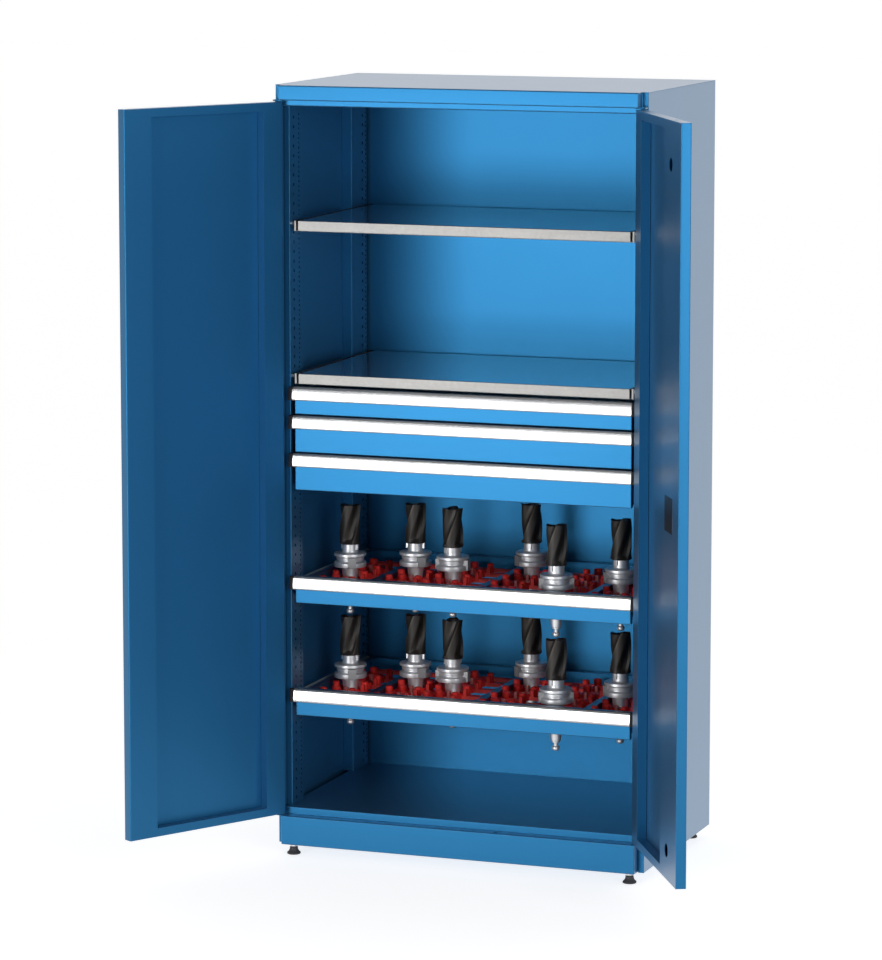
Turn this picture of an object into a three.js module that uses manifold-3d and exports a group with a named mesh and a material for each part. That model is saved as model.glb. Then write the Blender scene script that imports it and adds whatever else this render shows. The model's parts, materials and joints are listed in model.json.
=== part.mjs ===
// Steel tool cabinet with two hinged doors, two shelves, three drawers and two pull-out frames of
// tapered tool holders. Millimetres, Z up, X to the right, Y to the back.
// The origin is the middle of the body's underside, and the feet stand below it.

import * as THREE from 'three';
import { mergeVertices } from 'three/addons/utils/BufferGeometryUtils.js';
import Module from 'manifold-3d';

const wasm = await Module();
wasm.setup();

// Body
const BODY_WIDTH = 1010;
const BODY_DEPTH = 615;
const BODY_HEIGHT = 2000;
const SHEET = 1.5;
const SEAT_GAP = 0.3;
const OVERRUN = 5;

// Fascia at the top and plinth at the bottom, in front of the body
const DOOR_RECESS = 28.5;
const FASCIA_INSET = 17;
const FASCIA_HEIGHT = 39;
const HEADER_HEIGHT = 16;
const HEADER_RETURN = 21.5;
const PLINTH_HEIGHT = 78;
const PLINTH_FLANGE = 46;
const BASE_UPSTAND = 20;
const FLOOR_RISE = 19;

// Side panels and their folded edges
const SIDE_RETURN = 16;
const SIDE_HOOK = 13.5;

// Uprights with their square holes
const UPRIGHT_INSET = 31;
const FRONT_UPRIGHT_START = 48;
const FRONT_UPRIGHT_WIDTH = 82;
const FRONT_HOLES_FROM_EDGE = 28;
const REAR_UPRIGHT_FROM_BACK = 125;
const REAR_UPRIGHT_WIDTH = 110;
const REAR_HOLES_FROM_EDGE = 78;
const HOLE_SIDE = 8;
const HOLE_PITCH = 25;
const FIRST_HOLE = 16;
const HOLE_TOP_MARGIN = 3;
const HOOK_HEIGHT = 6;
const HOOK_WIDTH = 6;
const HOOK_REACH = 5.5;

// Levels, counted in hole pitches from the first hole
const SHELF_LEVELS = [61, 45];
const DRAWER_LEVELS = [44, 41, 37];
const PULLOUT_LEVELS = [24, 12];

// Feet
const FOOT_HEIGHT = 30;
const FOOT_RADIUS = 18;
const FOOT_RIM = 5;
const FOOT_CONE = 7;
const FOOT_NECK_RADIUS = 11;
const FOOT_NECK_GAP = 2.5;
const STUD_RADIUS = 5;
const STUD_LENGTH = 24;
const STUD_CLEARANCE = 0.6;
const NUT_RADIUS = 10;
const NUT_HEIGHT = 8;
const FOOT_SIDE_INSET = 40;
const FOOT_FRONT_INSET = 34;
const FOOT_REAR_INSET = 42;

// Shelves
const SHELF_SIDE_INSET = 22;
const SHELF_FRONT = 50;
const SHELF_REAR_GAP = 13.7;
const SHELF_EDGE = 28;
const SHELF_LIP = 12;
const SHELF_OVER_HOLE = 8.5;
const BRACKET_WIDTH = 12;
const BRACKET_TAB = 6;

// Runner rails of the drawers and pull-outs
const RAIL_FRONT = 50;
const RAIL_REAR_GAP = 23;
const RAIL_HEIGHT = 22;
const RAIL_DEPTH = 12.2;

// Drawer fronts, handles and trays
const FRONT_FACE = 44;
const FRONT_DEPTH = 16;
const FRONT_SIDE_GAP = 0.5;
const FRONT_LIP = 12;
const FRONT_JOINT_GAP = 3;
const SINGLE_FRONT_HEIGHT = 72;
const HANDLE_HEIGHT = 35;
const HANDLE_DEPTH = 13.7;
const HANDLE_TOP_DEPTH = 9;
const HANDLE_WALL = 2;
const CAP_WIDTH = 12;
const CAP_OVERHANG = 14;
const TRAY_SIDE_GAP = 2;
const TRAY_REAR_GAP = 21.7;
const TRAY_TOP_DROP = 13;
const TRAY_FLOOR_RISE = 5;
const TONGUE_REACH = 12;
const TONGUE_HEIGHT = 14;

// Pull-out frames
const FRAME_TOP_DROP = 13;
const FRAME_HEIGHT = 45;
const FRAME_FLANGE = 14.5;
const BAR_WIDTH = 22;
const BAR_HEIGHT = 22;
const BAR_TOP_DROP = 27;
const BAR_ACROSS_SHARES = [-0.674, 0, 0.674];

// Red tool inserts
const PANEL_THICKNESS = 12;
const PANEL_TOP_DROP = 41;
const PANEL_SIDE_GAP = 2;
const PANEL_END_GAP = 10;
const WINDOW_WIDTH_SHARE = 0.162;
const BEAM_WIDTH = 14;
const BEAM_CAP = 4;
const SOCKET_WALL = 8;
const SOCKET_DEPTH = 32;
const SOCKET_PAD = 16;
const LUG_WIDTH = 10;
const LUG_LENGTH = 28;
const LUG_HEIGHT = 24;
const LUG_OFFSET_SHARE = 0.083;

// Tool holders, measured down or up from the top of the flange
const TOOL_ACROSS_SHARES = [-0.883, -0.528, -0.265, 0.124, 0.519, 0.811];
const TOOL_BACK_SHARES = [0.376, 0.526, 0.464, 0.742, 0.115, 0.398];
const TOOL_TURN_SHARES = [-0.172, -0.131, 0, -0.375, -0.44, -0.44];
const FLANGE_RISE = 32;
const FLANGE_RADIUS = 43;
const FLANGE_HEIGHT = 38;
const GROOVE_RADIUS = 36;
const GROOVE_EDGE = 13;
const GROOVE_HEIGHT = 12;
const KEY_WIDTH = 16;
const KEY_OVERHANG = 3;
const KEY_DEPTH = 14;
const COLLAR_RADIUS = 21;
const COLLAR_HEIGHT = 24;
const CUTTER_RADIUS = 28;
const CUTTER_HEIGHT = 105;
const TAPER_RADIUS = 22.2;
const TAPER_END_RADIUS = 13.5;
const TAPER_LENGTH = 101;
const NECK_RADIUS = 7;
const NECK_LENGTH = 14;
const STUD_HEAD_RADIUS = 10;
const STUD_HEAD_LENGTH = 12;

// Doors and their hinges
const DOOR_THICKNESS = 27;
const DOOR_SIDE_GAP = 1.5;
const DOOR_MEETING_GAP = 1.5;
const DOOR_CORNER = 3;
const DOOR_OPEN_TURN_SHARE = 1 / 3;
const HINGE_STILE = 62;
const LEFT_FREE_STILE = 85;
const RIGHT_FREE_STILE = 176;
const DOOR_RAIL = 22;
const STEP_GAP = 1;
const PIN_FROM_EDGE = 8;
const PIN_FROM_FACE = 11;
const PIN_RADIUS = 3;
const PIN_CLEARANCE = 0.3;
const PIN_LENGTH = 5.5;
const EAR_HEIGHT = 4;
const EAR_GAP = 2;
const EAR_INNER_INSET = 27;
const EAR_FRONT_INSET = 6;

// Lock of the right door
const LOCK_FROM_EDGE = 106;
const LOCK_HEIGHT = 993;
const LOCK_PLATE_WIDTH = 84;
const LOCK_PLATE_HEIGHT = 88;
const LOCK_PLATE_PROUD = 0.8;
const LOCK_PLATE_THICKNESS = 2;
const LOCK_CASE_WIDTH = 60;
const LOCK_CASE_HEIGHT = 80;
const LOCK_CASE_DEPTH = 22;
const ROD_RADIUS = 4;
const ROD_CLEARANCE = 0.6;
const ROD_DEPTH = 13.5;
const ROD_IN_CASE = 24;
const ROD_BORE_DEPTH = 28;
const ROD_END_RECESS = 0.5;
const KEEPER_RADIUS = 6;
const ACCESS_RADIUS = 17.5;
const UPPER_ACCESS_DROP = 107.5;
const LOWER_ACCESS_RISE = 73.5;
const SPINDLE_RADIUS = 5;
const SPINDLE_CLEARANCE = 0.6;
const SPINDLE_END = 20;
const ROSE_RADIUS = 26;
const ROSE_THICKNESS = 4;
const HUB_RADIUS = 12;
const HUB_THICKNESS = 11;
const LEVER_LENGTH = 100;
const LEVER_WIDTH = 20;
const LEVER_THICKNESS = 9;

// Sides of the round shapes
const ROUND_SIDES = 16;
const TOOL_SIDES = 10;
const CORNER_STEPS = 3;
const NUT_SIDES = 6;

// Places worked out from the sizes above
const HALF_WIDTH = BODY_WIDTH / 2;
const FRONT = -BODY_DEPTH / 2;
const REAR = BODY_DEPTH / 2;
const BODY_FRONT = FRONT + DOOR_RECESS;
const ROOF_UNDERSIDE = BODY_HEIGHT - SHEET;
const FASCIA_HALF = HALF_WIDTH - FASCIA_INSET;
const FASCIA_BOTTOM = BODY_HEIGHT - FASCIA_HEIGHT;
const HEADER_BOTTOM = FASCIA_BOTTOM - HEADER_HEIGHT;
const SIDE_INNER = HALF_WIDTH - SHEET;
const WITHIN_SIDES = SIDE_INNER - SEAT_GAP;
const BACK_FACE = REAR - SHEET - SEAT_GAP - SHEET;
const WITHIN_BACK = BACK_FACE - SEAT_GAP;
const FLOOR_TOP = PLINTH_HEIGHT + FLOOR_RISE;
const UPRIGHT_FACE = HALF_WIDTH - UPRIGHT_INSET;
const UPRIGHT_BOTTOM = FLOOR_TOP + SEAT_GAP;
const UPRIGHT_TOP = HEADER_BOTTOM - SEAT_GAP;
const FIRST_HOLE_Z = FLOOR_TOP + FIRST_HOLE;
const FRONT_UPRIGHT_Y = FRONT + FRONT_UPRIGHT_START;
const REAR_UPRIGHT_Y = REAR - REAR_UPRIGHT_FROM_BACK;
const FRONT_HOLES_Y = FRONT_UPRIGHT_Y + FRONT_HOLES_FROM_EDGE;
const REAR_HOLES_Y = REAR_UPRIGHT_Y + REAR_HOLES_FROM_EDGE;
const RAIL_OUTER = UPRIGHT_FACE - SEAT_GAP;
const RAIL_INNER = RAIL_OUTER - RAIL_DEPTH;
const FRONT_HALF = RAIL_INNER - FRONT_SIDE_GAP;
const TRAY_HALF = RAIL_INNER - TRAY_SIDE_GAP;
const FRONT_BACK = FRONT + FRONT_FACE + FRONT_DEPTH;
const TRAY_FRONT = FRONT_BACK + SEAT_GAP;
const TRAY_REAR = BACK_FACE - TRAY_REAR_GAP;
const FRAME_HALF = TRAY_HALF - FRAME_FLANGE;
const FRAME_START = FRONT_BACK + FRAME_FLANGE;
const FRAME_END = TRAY_REAR - FRAME_FLANGE;
const PIN_X = HALF_WIDTH - DOOR_SIDE_GAP - PIN_FROM_EDGE;
const PIN_Y = FRONT + PIN_FROM_FACE;
const UPPER_EAR_TOP = FASCIA_BOTTOM + SHEET;
const UPPER_EAR_BOTTOM = UPPER_EAR_TOP - EAR_HEIGHT;
const LOWER_EAR_BOTTOM = PLINTH_HEIGHT - SHEET;
const LOWER_EAR_TOP = LOWER_EAR_BOTTOM + EAR_HEIGHT;
const DOOR_BOTTOM = LOWER_EAR_TOP + EAR_GAP;
const DOOR_TOP = UPPER_EAR_BOTTOM - EAR_GAP;
const DOOR_WIDTH = HALF_WIDTH - DOOR_SIDE_GAP - DOOR_MEETING_GAP;
const LOCK_X = DOOR_WIDTH - LOCK_FROM_EDGE;
const KEEPER_X = HALF_WIDTH - DOOR_SIDE_GAP - LOCK_X;
const KEEPER_Y = FRONT + ROD_DEPTH;

// Materials
function paint(color, roughness, metalness) {
  return new THREE.MeshStandardMaterial({ color, roughness, metalness });
}
const bluePaint = paint('#2f87c8', 0.35, 0);
const fasciaPaint = paint('#50a8e1', 0.35, 0);
const doorPaint = paint('#2d6aa5', 0.35, 0);
const frontPaint = paint('#3ea0dc', 0.35, 0);
const zinc = paint('#b4b0aa', 0.4, 0.8);
const handleGrey = paint('#eceef0', 0.3, 0.1);
const redPlastic = paint('#be1919', 0.5, 0);
const toolSteel = paint('#b9bcc0', 0.25, 0.9);
const lockSteel = paint('#4b4b4e', 0.5, 0.6);
const rodSteel = paint('#8f9296', 0.4, 0.9);
const footRubber = paint('#373739', 0.8, 0);

// Closed solid from any three.js geometry
function solid(geometry) {
  const bare = geometry.index ? geometry.toNonIndexed() : geometry.clone();
  bare.deleteAttribute('normal');
  bare.deleteAttribute('uv');
  const merged = mergeVertices(bare);
  const place = merged.attributes.position;
  const corner = (i) => new THREE.Vector3().fromBufferAttribute(place, i);
  const faces = [];
  let volume = 0;
  for (let i = 0; i < merged.index.count; i += 3) {
    const [a, b, c] = [0, 1, 2].map((k) => merged.index.getX(i + k));
    if (a === b || b === c || c === a) continue;
    faces.push([a, b, c]);
    volume += corner(a).dot(corner(b).cross(corner(c)));
  }
  const outward = volume < 0 ? faces.map(([a, b, c]) => [a, c, b]) : faces;
  const vertProperties = new Float32Array(place.array);
  const triVerts = new Uint32Array(outward.flat());
  return new wasm.Manifold(new wasm.Mesh({ numProp: 3, vertProperties, triVerts }));
}

// Box between two corners, given in any order
function block([xa, xb], [ya, yb], [za, zb]) {
  const box = new THREE.BoxGeometry(Math.abs(xb - xa), Math.abs(yb - ya), Math.abs(zb - za));
  box.translate((xa + xb) / 2, (ya + yb) / 2, (za + zb) / 2);
  return solid(box);
}

// Outline in X and Y, drawn out along Z
function prismZ(points, low, high) {
  const shape = new THREE.Shape(points.map(([x, y]) => new THREE.Vector2(x, y)));
  const body = new THREE.ExtrudeGeometry(shape, { depth: high - low, bevelEnabled: false });
  body.translate(0, 0, low);
  return solid(body);
}

// Outline in X and Z, drawn out along Y
function prismY(points, near, far) {
  const shape = new THREE.Shape(points.map(([x, z]) => new THREE.Vector2(x, z)));
  const body = new THREE.ExtrudeGeometry(shape, { depth: far - near, bevelEnabled: false });
  body.rotateX(Math.PI / 2);
  body.translate(0, far, 0);
  return solid(body);
}

// Outline in Y and Z, drawn out along X
function prismX(points, left, right) {
  const shape = new THREE.Shape(points.map(([y, z]) => new THREE.Vector2(y, z)));
  const body = new THREE.ExtrudeGeometry(shape, { depth: right - left, bevelEnabled: false });
  body.rotateY(Math.PI / 2);
  body.rotateX(Math.PI / 2);
  body.translate(left, 0, 0);
  return solid(body);
}

// Upright round bar
function roundZ(radius, [x, y], low, high, sides = ROUND_SIDES) {
  const bar = new THREE.CylinderGeometry(radius, radius, high - low, sides);
  bar.rotateX(Math.PI / 2);
  bar.translate(x, y, (low + high) / 2);
  return solid(bar);
}

// Round bar that runs front to back
function roundY(radius, [x, z], near, far, sides = ROUND_SIDES) {
  const bar = new THREE.CylinderGeometry(radius, radius, far - near, sides);
  bar.translate(x, (near + far) / 2, z);
  return solid(bar);
}

// Turned shape from radii and heights
function turned(profile, sides) {
  const body = new THREE.LatheGeometry(profile.map(([r, z]) => new THREE.Vector2(r, z)), sides);
  body.rotateX(Math.PI / 2);
  return solid(body);
}

function joined(solids) {
  return solids.reduce((whole, next) => whole.add(next));
}

function cut(body, tools) {
  return tools.length ? body.subtract(joined(tools)) : body;
}

// Named mesh from a solid
function piece(name, body, material) {
  const { vertProperties, triVerts } = body.asOriginal().simplify().getMesh();
  const geometry = new THREE.BufferGeometry();
  geometry.setAttribute('position', new THREE.BufferAttribute(new Float32Array(vertProperties), 3));
  geometry.setIndex(new THREE.BufferAttribute(new Uint32Array(triVerts), 1));
  geometry.computeVertexNormals();
  const mesh = new THREE.Mesh(geometry, material);
  mesh.name = name;
  return mesh;
}

const both = (half) => [-half, half];
const levelZ = (level) => FIRST_HOLE_Z + level * HOLE_PITCH;
const share = (from, to, part) => from + (to - from) * part;
const sideName = (side) => (side < 0 ? 'left' : 'right');

// Side wall with folded front and rear edges
function sidePanel(side) {
  const lip = HALF_WIDTH - SIDE_RETURN;
  const outline = [
    [HALF_WIDTH, BODY_FRONT],
    [HALF_WIDTH, REAR],
    [lip, REAR],
    [lip, REAR - SHEET],
    [SIDE_INNER, REAR - SHEET],
    [SIDE_INNER, BODY_FRONT + SHEET],
    [lip + SHEET, BODY_FRONT + SHEET],
    [lip + SHEET, BODY_FRONT + SIDE_HOOK],
    [lip, BODY_FRONT + SIDE_HOOK],
    [lip, BODY_FRONT],
  ].map(([x, y]) => [side * x, y]);
  return prismZ(outline, 0, ROOF_UNDERSIDE - SEAT_GAP);
}

function backPanel() {
  return block(both(WITHIN_SIDES), [BACK_FACE, BACK_FACE + SHEET], [0, ROOF_UNDERSIDE - SEAT_GAP]);
}

// Hinge ear with its pin hole, at a fascia or plinth corner
function ear(side, low, high) {
  const across = [side * (HALF_WIDTH - EAR_INNER_INSET), side * (HALF_WIDTH - DOOR_SIDE_GAP)];
  return block(across, [FRONT + EAR_FRONT_INSET, BODY_FRONT - SEAT_GAP], [low, high]);
}

function pinHole(side, low, high) {
  const place = [side * PIN_X, PIN_Y];
  return roundZ(PIN_RADIUS + PIN_CLEARANCE, place, low - OVERRUN, high + OVERRUN);
}

function keeperHole(height) {
  return roundZ(KEEPER_RADIUS, [KEEPER_X, KEEPER_Y], height - OVERRUN, height + OVERRUN);
}

// Roof with the boxed fascia, the header band and the upper hinge ears
function topCover() {
  const frontPart = [FRONT, BODY_FRONT + SHEET];
  const band = [BODY_FRONT, BODY_FRONT + SHEET];
  const bandFold = [BODY_FRONT, BODY_FRONT + HEADER_RETURN];
  const endPlate = (side) => [side * (FASCIA_HALF - SHEET), side * FASCIA_HALF];
  const body = joined([
    block(both(HALF_WIDTH), [BODY_FRONT, REAR], [ROOF_UNDERSIDE, BODY_HEIGHT]),
    block(both(FASCIA_HALF), frontPart, [ROOF_UNDERSIDE, BODY_HEIGHT]),
    block(both(FASCIA_HALF), [FRONT, FRONT + SHEET], [FASCIA_BOTTOM, BODY_HEIGHT]),
    block(both(FASCIA_HALF), frontPart, [FASCIA_BOTTOM, FASCIA_BOTTOM + SHEET]),
    block(both(FASCIA_HALF), band, [HEADER_BOTTOM, FASCIA_BOTTOM + SHEET]),
    block(both(FASCIA_HALF), bandFold, [HEADER_BOTTOM, HEADER_BOTTOM + SHEET]),
    block(endPlate(-1), frontPart, [FASCIA_BOTTOM, BODY_HEIGHT]),
    block(endPlate(1), frontPart, [FASCIA_BOTTOM, BODY_HEIGHT]),
    ear(-1, UPPER_EAR_BOTTOM, UPPER_EAR_TOP),
    ear(1, UPPER_EAR_BOTTOM, UPPER_EAR_TOP),
  ]);
  return cut(body, [
    pinHole(-1, UPPER_EAR_BOTTOM, UPPER_EAR_TOP),
    pinHole(1, UPPER_EAR_BOTTOM, UPPER_EAR_TOP),
    keeperHole(FASCIA_BOTTOM),
  ]);
}

const footPlaces = {
  foot_front_left: [-(HALF_WIDTH - FOOT_SIDE_INSET), FRONT + FOOT_FRONT_INSET],
  foot_front_right: [HALF_WIDTH - FOOT_SIDE_INSET, FRONT + FOOT_FRONT_INSET],
  foot_rear_left: [-(HALF_WIDTH - FOOT_SIDE_INSET), REAR - FOOT_REAR_INSET],
  foot_rear_right: [HALF_WIDTH - FOOT_SIDE_INSET, REAR - FOOT_REAR_INSET],
};

// Bottom sheet with the plinth wall, its flange, upstands, lower ears and nuts for the feet
function basePlinth() {
  const wideStart = BODY_FRONT + SIDE_HOOK + SEAT_GAP;
  const flangeEnd = FRONT + PLINTH_FLANGE;
  const endPlate = (side) => [side * (FASCIA_HALF - SHEET), side * FASCIA_HALF];
  const upstand = (side) => [side * (WITHIN_SIDES - SHEET), side * WITHIN_SIDES];
  const places = Object.values(footPlaces);
  const body = joined([
    block(both(FASCIA_HALF), [FRONT, wideStart + SHEET], [0, SHEET]),
    block(both(WITHIN_SIDES), [wideStart, WITHIN_BACK], [0, SHEET]),
    block(both(FASCIA_HALF), [FRONT, FRONT + SHEET], [0, PLINTH_HEIGHT]),
    block(both(FASCIA_HALF), [FRONT, flangeEnd], [PLINTH_HEIGHT - SHEET, PLINTH_HEIGHT]),
    block(endPlate(-1), [FRONT, flangeEnd], [0, PLINTH_HEIGHT]),
    block(endPlate(1), [FRONT, flangeEnd], [0, PLINTH_HEIGHT]),
    block(both(WITHIN_SIDES), [WITHIN_BACK - SHEET, WITHIN_BACK], [0, BASE_UPSTAND]),
    block(upstand(-1), [wideStart, WITHIN_BACK], [0, BASE_UPSTAND]),
    block(upstand(1), [wideStart, WITHIN_BACK], [0, BASE_UPSTAND]),
    ear(-1, LOWER_EAR_BOTTOM, LOWER_EAR_TOP),
    ear(1, LOWER_EAR_BOTTOM, LOWER_EAR_TOP),
    ...places.map((place) => roundZ(NUT_RADIUS, place, 0, SHEET + NUT_HEIGHT, NUT_SIDES)),
  ]);
  const studHole = (place) => {
    const top = SHEET + NUT_HEIGHT + OVERRUN;
    return roundZ(STUD_RADIUS + STUD_CLEARANCE, place, -OVERRUN, top);
  };
  return cut(body, [
    pinHole(-1, LOWER_EAR_BOTTOM, LOWER_EAR_TOP),
    pinHole(1, LOWER_EAR_BOTTOM, LOWER_EAR_TOP),
    keeperHole(PLINTH_HEIGHT),
    ...places.map(studHole),
  ]);
}

// Foot with its threaded stud, its shoulder a little under the bottom sheet
function foot() {
  return turned([
    [0, -FOOT_HEIGHT],
    [FOOT_RADIUS, -FOOT_HEIGHT],
    [FOOT_RADIUS, FOOT_RIM - FOOT_HEIGHT],
    [FOOT_NECK_RADIUS, FOOT_RIM + FOOT_CONE - FOOT_HEIGHT],
    [FOOT_NECK_RADIUS, -FOOT_NECK_GAP],
    [STUD_RADIUS, -FOOT_NECK_GAP],
    [STUD_RADIUS, STUD_LENGTH],
    [0, STUD_LENGTH],
  ], TOOL_SIDES);
}

// Floor with folded front, side and rear edges
function floorPanel() {
  const half = HALF_WIDTH - SIDE_RETURN - SEAT_GAP;
  const lipBottom = PLINTH_HEIGHT + SEAT_GAP;
  const rearLip = WITHIN_BACK - SHEET - SEAT_GAP;
  const sideLip = (side) => [side * (half - SHEET), side * half];
  return joined([
    block(both(half), [BODY_FRONT, WITHIN_BACK], [FLOOR_TOP - SHEET, FLOOR_TOP]),
    block(both(half), [BODY_FRONT, BODY_FRONT + SHEET], [lipBottom, FLOOR_TOP]),
    block(both(half), [rearLip - SHEET, rearLip], [SHEET + SEAT_GAP, FLOOR_TOP]),
    block(sideLip(-1), [BODY_FRONT, rearLip], [lipBottom, FLOOR_TOP]),
    block(sideLip(1), [BODY_FRONT, rearLip], [lipBottom, FLOOR_TOP]),
  ]);
}

// Channel with a column of square holes for hooks
function upright(side, near, width, holesY) {
  const far = near + width;
  const outline = [
    [UPRIGHT_FACE, near],
    [WITHIN_SIDES, near],
    [WITHIN_SIDES, near + SHEET],
    [UPRIGHT_FACE + SHEET, near + SHEET],
    [UPRIGHT_FACE + SHEET, far - SHEET],
    [WITHIN_SIDES, far - SHEET],
    [WITHIN_SIDES, far],
    [UPRIGHT_FACE, far],
  ].map(([x, y]) => [side * x, y]);
  const across = [side * (UPRIGHT_FACE - OVERRUN), side * (UPRIGHT_FACE + SHEET + OVERRUN)];
  const along = [holesY - HOLE_SIDE / 2, holesY + HOLE_SIDE / 2];
  const lastHole = UPRIGHT_TOP - HOLE_TOP_MARGIN - HOLE_SIDE / 2;
  const holes = [];
  for (let z = FIRST_HOLE_Z; z <= lastHole; z += HOLE_PITCH) {
    holes.push(block(across, along, [z - HOLE_SIDE / 2, z + HOLE_SIDE / 2]));
  }
  return cut(prismZ(outline, UPRIGHT_BOTTOM, UPRIGHT_TOP), holes);
}

// Hook that rests in one square hole of an upright, from the face where it starts
function hook(side, from, holeY, holeZ) {
  const low = holeZ - HOLE_SIDE / 2 + SEAT_GAP;
  const across = [side * from, side * (UPRIGHT_FACE + SHEET + HOOK_REACH)];
  return block(across, [holeY - HOOK_WIDTH / 2, holeY + HOOK_WIDTH / 2], [low, low + HOOK_HEIGHT]);
}

// Folded shelf, open below, with a hooked bracket at each end, about its own hook level
function shelf() {
  const top = SHELF_OVER_HOLE;
  const bottom = top - SHELF_EDGE;
  const half = UPRIGHT_FACE - SHELF_SIDE_INSET;
  const near = FRONT + SHELF_FRONT;
  const far = BACK_FACE - SHELF_REAR_GAP;
  const outer = half + BRACKET_WIDTH;
  const hollow = block(both(half - SHEET), [near + SHEET, far - SHEET], [bottom + SHEET, top - SHEET]);
  const mouth = block(
    both(half - SHELF_LIP),
    [near + SHELF_LIP, far - SHELF_LIP],
    [bottom - OVERRUN, bottom + SHEET + OVERRUN],
  );
  const pan = cut(block(both(half), [near, far], [bottom, top]), [hollow, mouth]);
  const bracket = (side) => [
    block([side * (half - SHEET), side * outer], [near, far], [bottom, bottom + SHEET]),
    block([side * (outer - SHEET), side * outer], [near, far], [bottom, top]),
    block([side * (outer - BRACKET_TAB), side * outer], [near, near + SHEET], [bottom, top]),
    hook(side, outer - SHEET, FRONT_HOLES_Y, 0),
    hook(side, outer - SHEET, REAR_HOLES_Y, 0),
  ];
  return joined([pan, ...bracket(-1), ...bracket(1)]);
}

// Runner rail that hooks into two uprights, about its own hook level
function rail(side) {
  const top = RAIL_HEIGHT / 2;
  const outline = [
    [RAIL_OUTER, -top],
    [RAIL_OUTER, top],
    [RAIL_INNER, top],
    [RAIL_INNER, top - SHEET],
    [RAIL_OUTER - SHEET, top - SHEET],
    [RAIL_OUTER - SHEET, SHEET - top],
    [RAIL_INNER, SHEET - top],
    [RAIL_INNER, -top],
  ].map(([x, z]) => [side * x, z]);
  return joined([
    prismY(outline, FRONT + RAIL_FRONT, REAR - RAIL_REAR_GAP),
    hook(side, RAIL_OUTER - SHEET, FRONT_HOLES_Y, 0),
    hook(side, RAIL_OUTER - SHEET, REAR_HOLES_Y, 0),
  ]);
}

// Hollow tongue that runs in a rail, heights from the drawer's top level
function tongue(side, near, far) {
  const low = -HOLE_PITCH - RAIL_HEIGHT / 2 + SHEET + SEAT_GAP;
  const high = low + TONGUE_HEIGHT;
  const outer = TRAY_HALF + TONGUE_REACH;
  const shell = block([side * (TRAY_HALF - SHEET), side * outer], [near, far], [low, high]);
  const inside = block(
    [side * TRAY_HALF, side * (outer - SHEET)],
    [near - OVERRUN, far + OVERRUN],
    [low + SHEET, high - SHEET],
  );
  return cut(shell, [inside]);
}

// Sheet drawer body, open at the top, heights from the drawer's top level
function tray(height) {
  const low = TRAY_FLOOR_RISE - height;
  const high = -TRAY_TOP_DROP;
  const shell = block(both(TRAY_HALF), [TRAY_FRONT, TRAY_REAR], [low, high]);
  const inside = block(
    both(TRAY_HALF - SHEET),
    [TRAY_FRONT + SHEET, TRAY_REAR - SHEET],
    [low + SHEET, high + OVERRUN],
  );
  return joined([
    cut(shell, [inside]),
    tongue(-1, TRAY_FRONT, TRAY_REAR),
    tongue(1, TRAY_FRONT, TRAY_REAR),
  ]);
}

// Painted front pan, open at the back
function frontPan(height) {
  const near = FRONT + FRONT_FACE;
  const shell = block(both(FRONT_HALF), [near, FRONT_BACK], [-height, 0]);
  const hollow = block(
    both(FRONT_HALF - SHEET),
    [near + SHEET, FRONT_BACK - SHEET],
    [SHEET - height, -SHEET],
  );
  const mouth = block(
    both(FRONT_HALF - FRONT_LIP),
    [FRONT_BACK - SHEET - OVERRUN, FRONT_BACK + OVERRUN],
    [FRONT_LIP - height, -FRONT_LIP],
  );
  return cut(shell, [hollow, mouth]);
}

// Handle profile with a sloping face, a finger gap from below and a cap at each end
function handle() {
  const back = FRONT + FRONT_FACE - SEAT_GAP;
  const outer = [
    [back, 0],
    [back - HANDLE_TOP_DEPTH, 0],
    [back - HANDLE_DEPTH, -HANDLE_HEIGHT],
  ];
  const section = [
    ...outer,
    [back - HANDLE_DEPTH + HANDLE_WALL, -HANDLE_HEIGHT],
    [back - HANDLE_TOP_DEPTH + HANDLE_WALL, -HANDLE_WALL],
    [back - HANDLE_WALL, -HANDLE_WALL],
    [back - HANDLE_WALL, -HANDLE_HEIGHT],
    [back, -HANDLE_HEIGHT],
  ];
  const capOutline = [...outer, [back, -HANDLE_HEIGHT]];
  const end = FRONT_HALF + CAP_OVERHANG;
  return joined([
    prismX(section, -end, end),
    prismX(capOutline, -end, CAP_WIDTH - end),
    prismX(capOutline, end - CAP_WIDTH, end),
  ]);
}

const barX = BAR_ACROSS_SHARES.map((part) => part * FRAME_HALF);

// Sheet frame with a painted front, an open middle and three bars from front to back
function pulloutFrame() {
  const low = -FRAME_TOP_DROP - FRAME_HEIGHT;
  const high = -FRAME_TOP_DROP;
  const near = FRONT_BACK - SHEET;
  const ring = cut(block(both(TRAY_HALF), [near, TRAY_REAR], [low, high]), [
    block(
      both(TRAY_HALF - SHEET),
      [FRONT_BACK + SHEET, TRAY_REAR - SHEET],
      [low + SHEET, high - SHEET],
    ),
    block(both(FRAME_HALF), [FRAME_START, FRAME_END], [low - OVERRUN, high + OVERRUN]),
  ]);
  const barTop = -BAR_TOP_DROP;
  const barLow = barTop - BAR_HEIGHT;
  const bar = (x) => cut(
    block([x - BAR_WIDTH / 2, x + BAR_WIDTH / 2], [FRONT_BACK, TRAY_REAR], [barLow, barTop]),
    [block(
      [x - BAR_WIDTH / 2 + SHEET, x + BAR_WIDTH / 2 - SHEET],
      [FRONT_BACK + SHEET, TRAY_REAR - SHEET],
      [barLow - SHEET, barTop - SHEET],
    )],
  );
  return joined([
    frontPan(SINGLE_FRONT_HEIGHT),
    ring,
    ...barX.map(bar),
    tongue(-1, FRONT_BACK, TRAY_REAR),
    tongue(1, FRONT_BACK, TRAY_REAR),
  ]);
}

const toolPlaces = TOOL_ACROSS_SHARES.map((part, i) => [
  part * FRAME_HALF,
  share(FRAME_START, FRAME_END, TOOL_BACK_SHARES[i]),
]);

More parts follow.
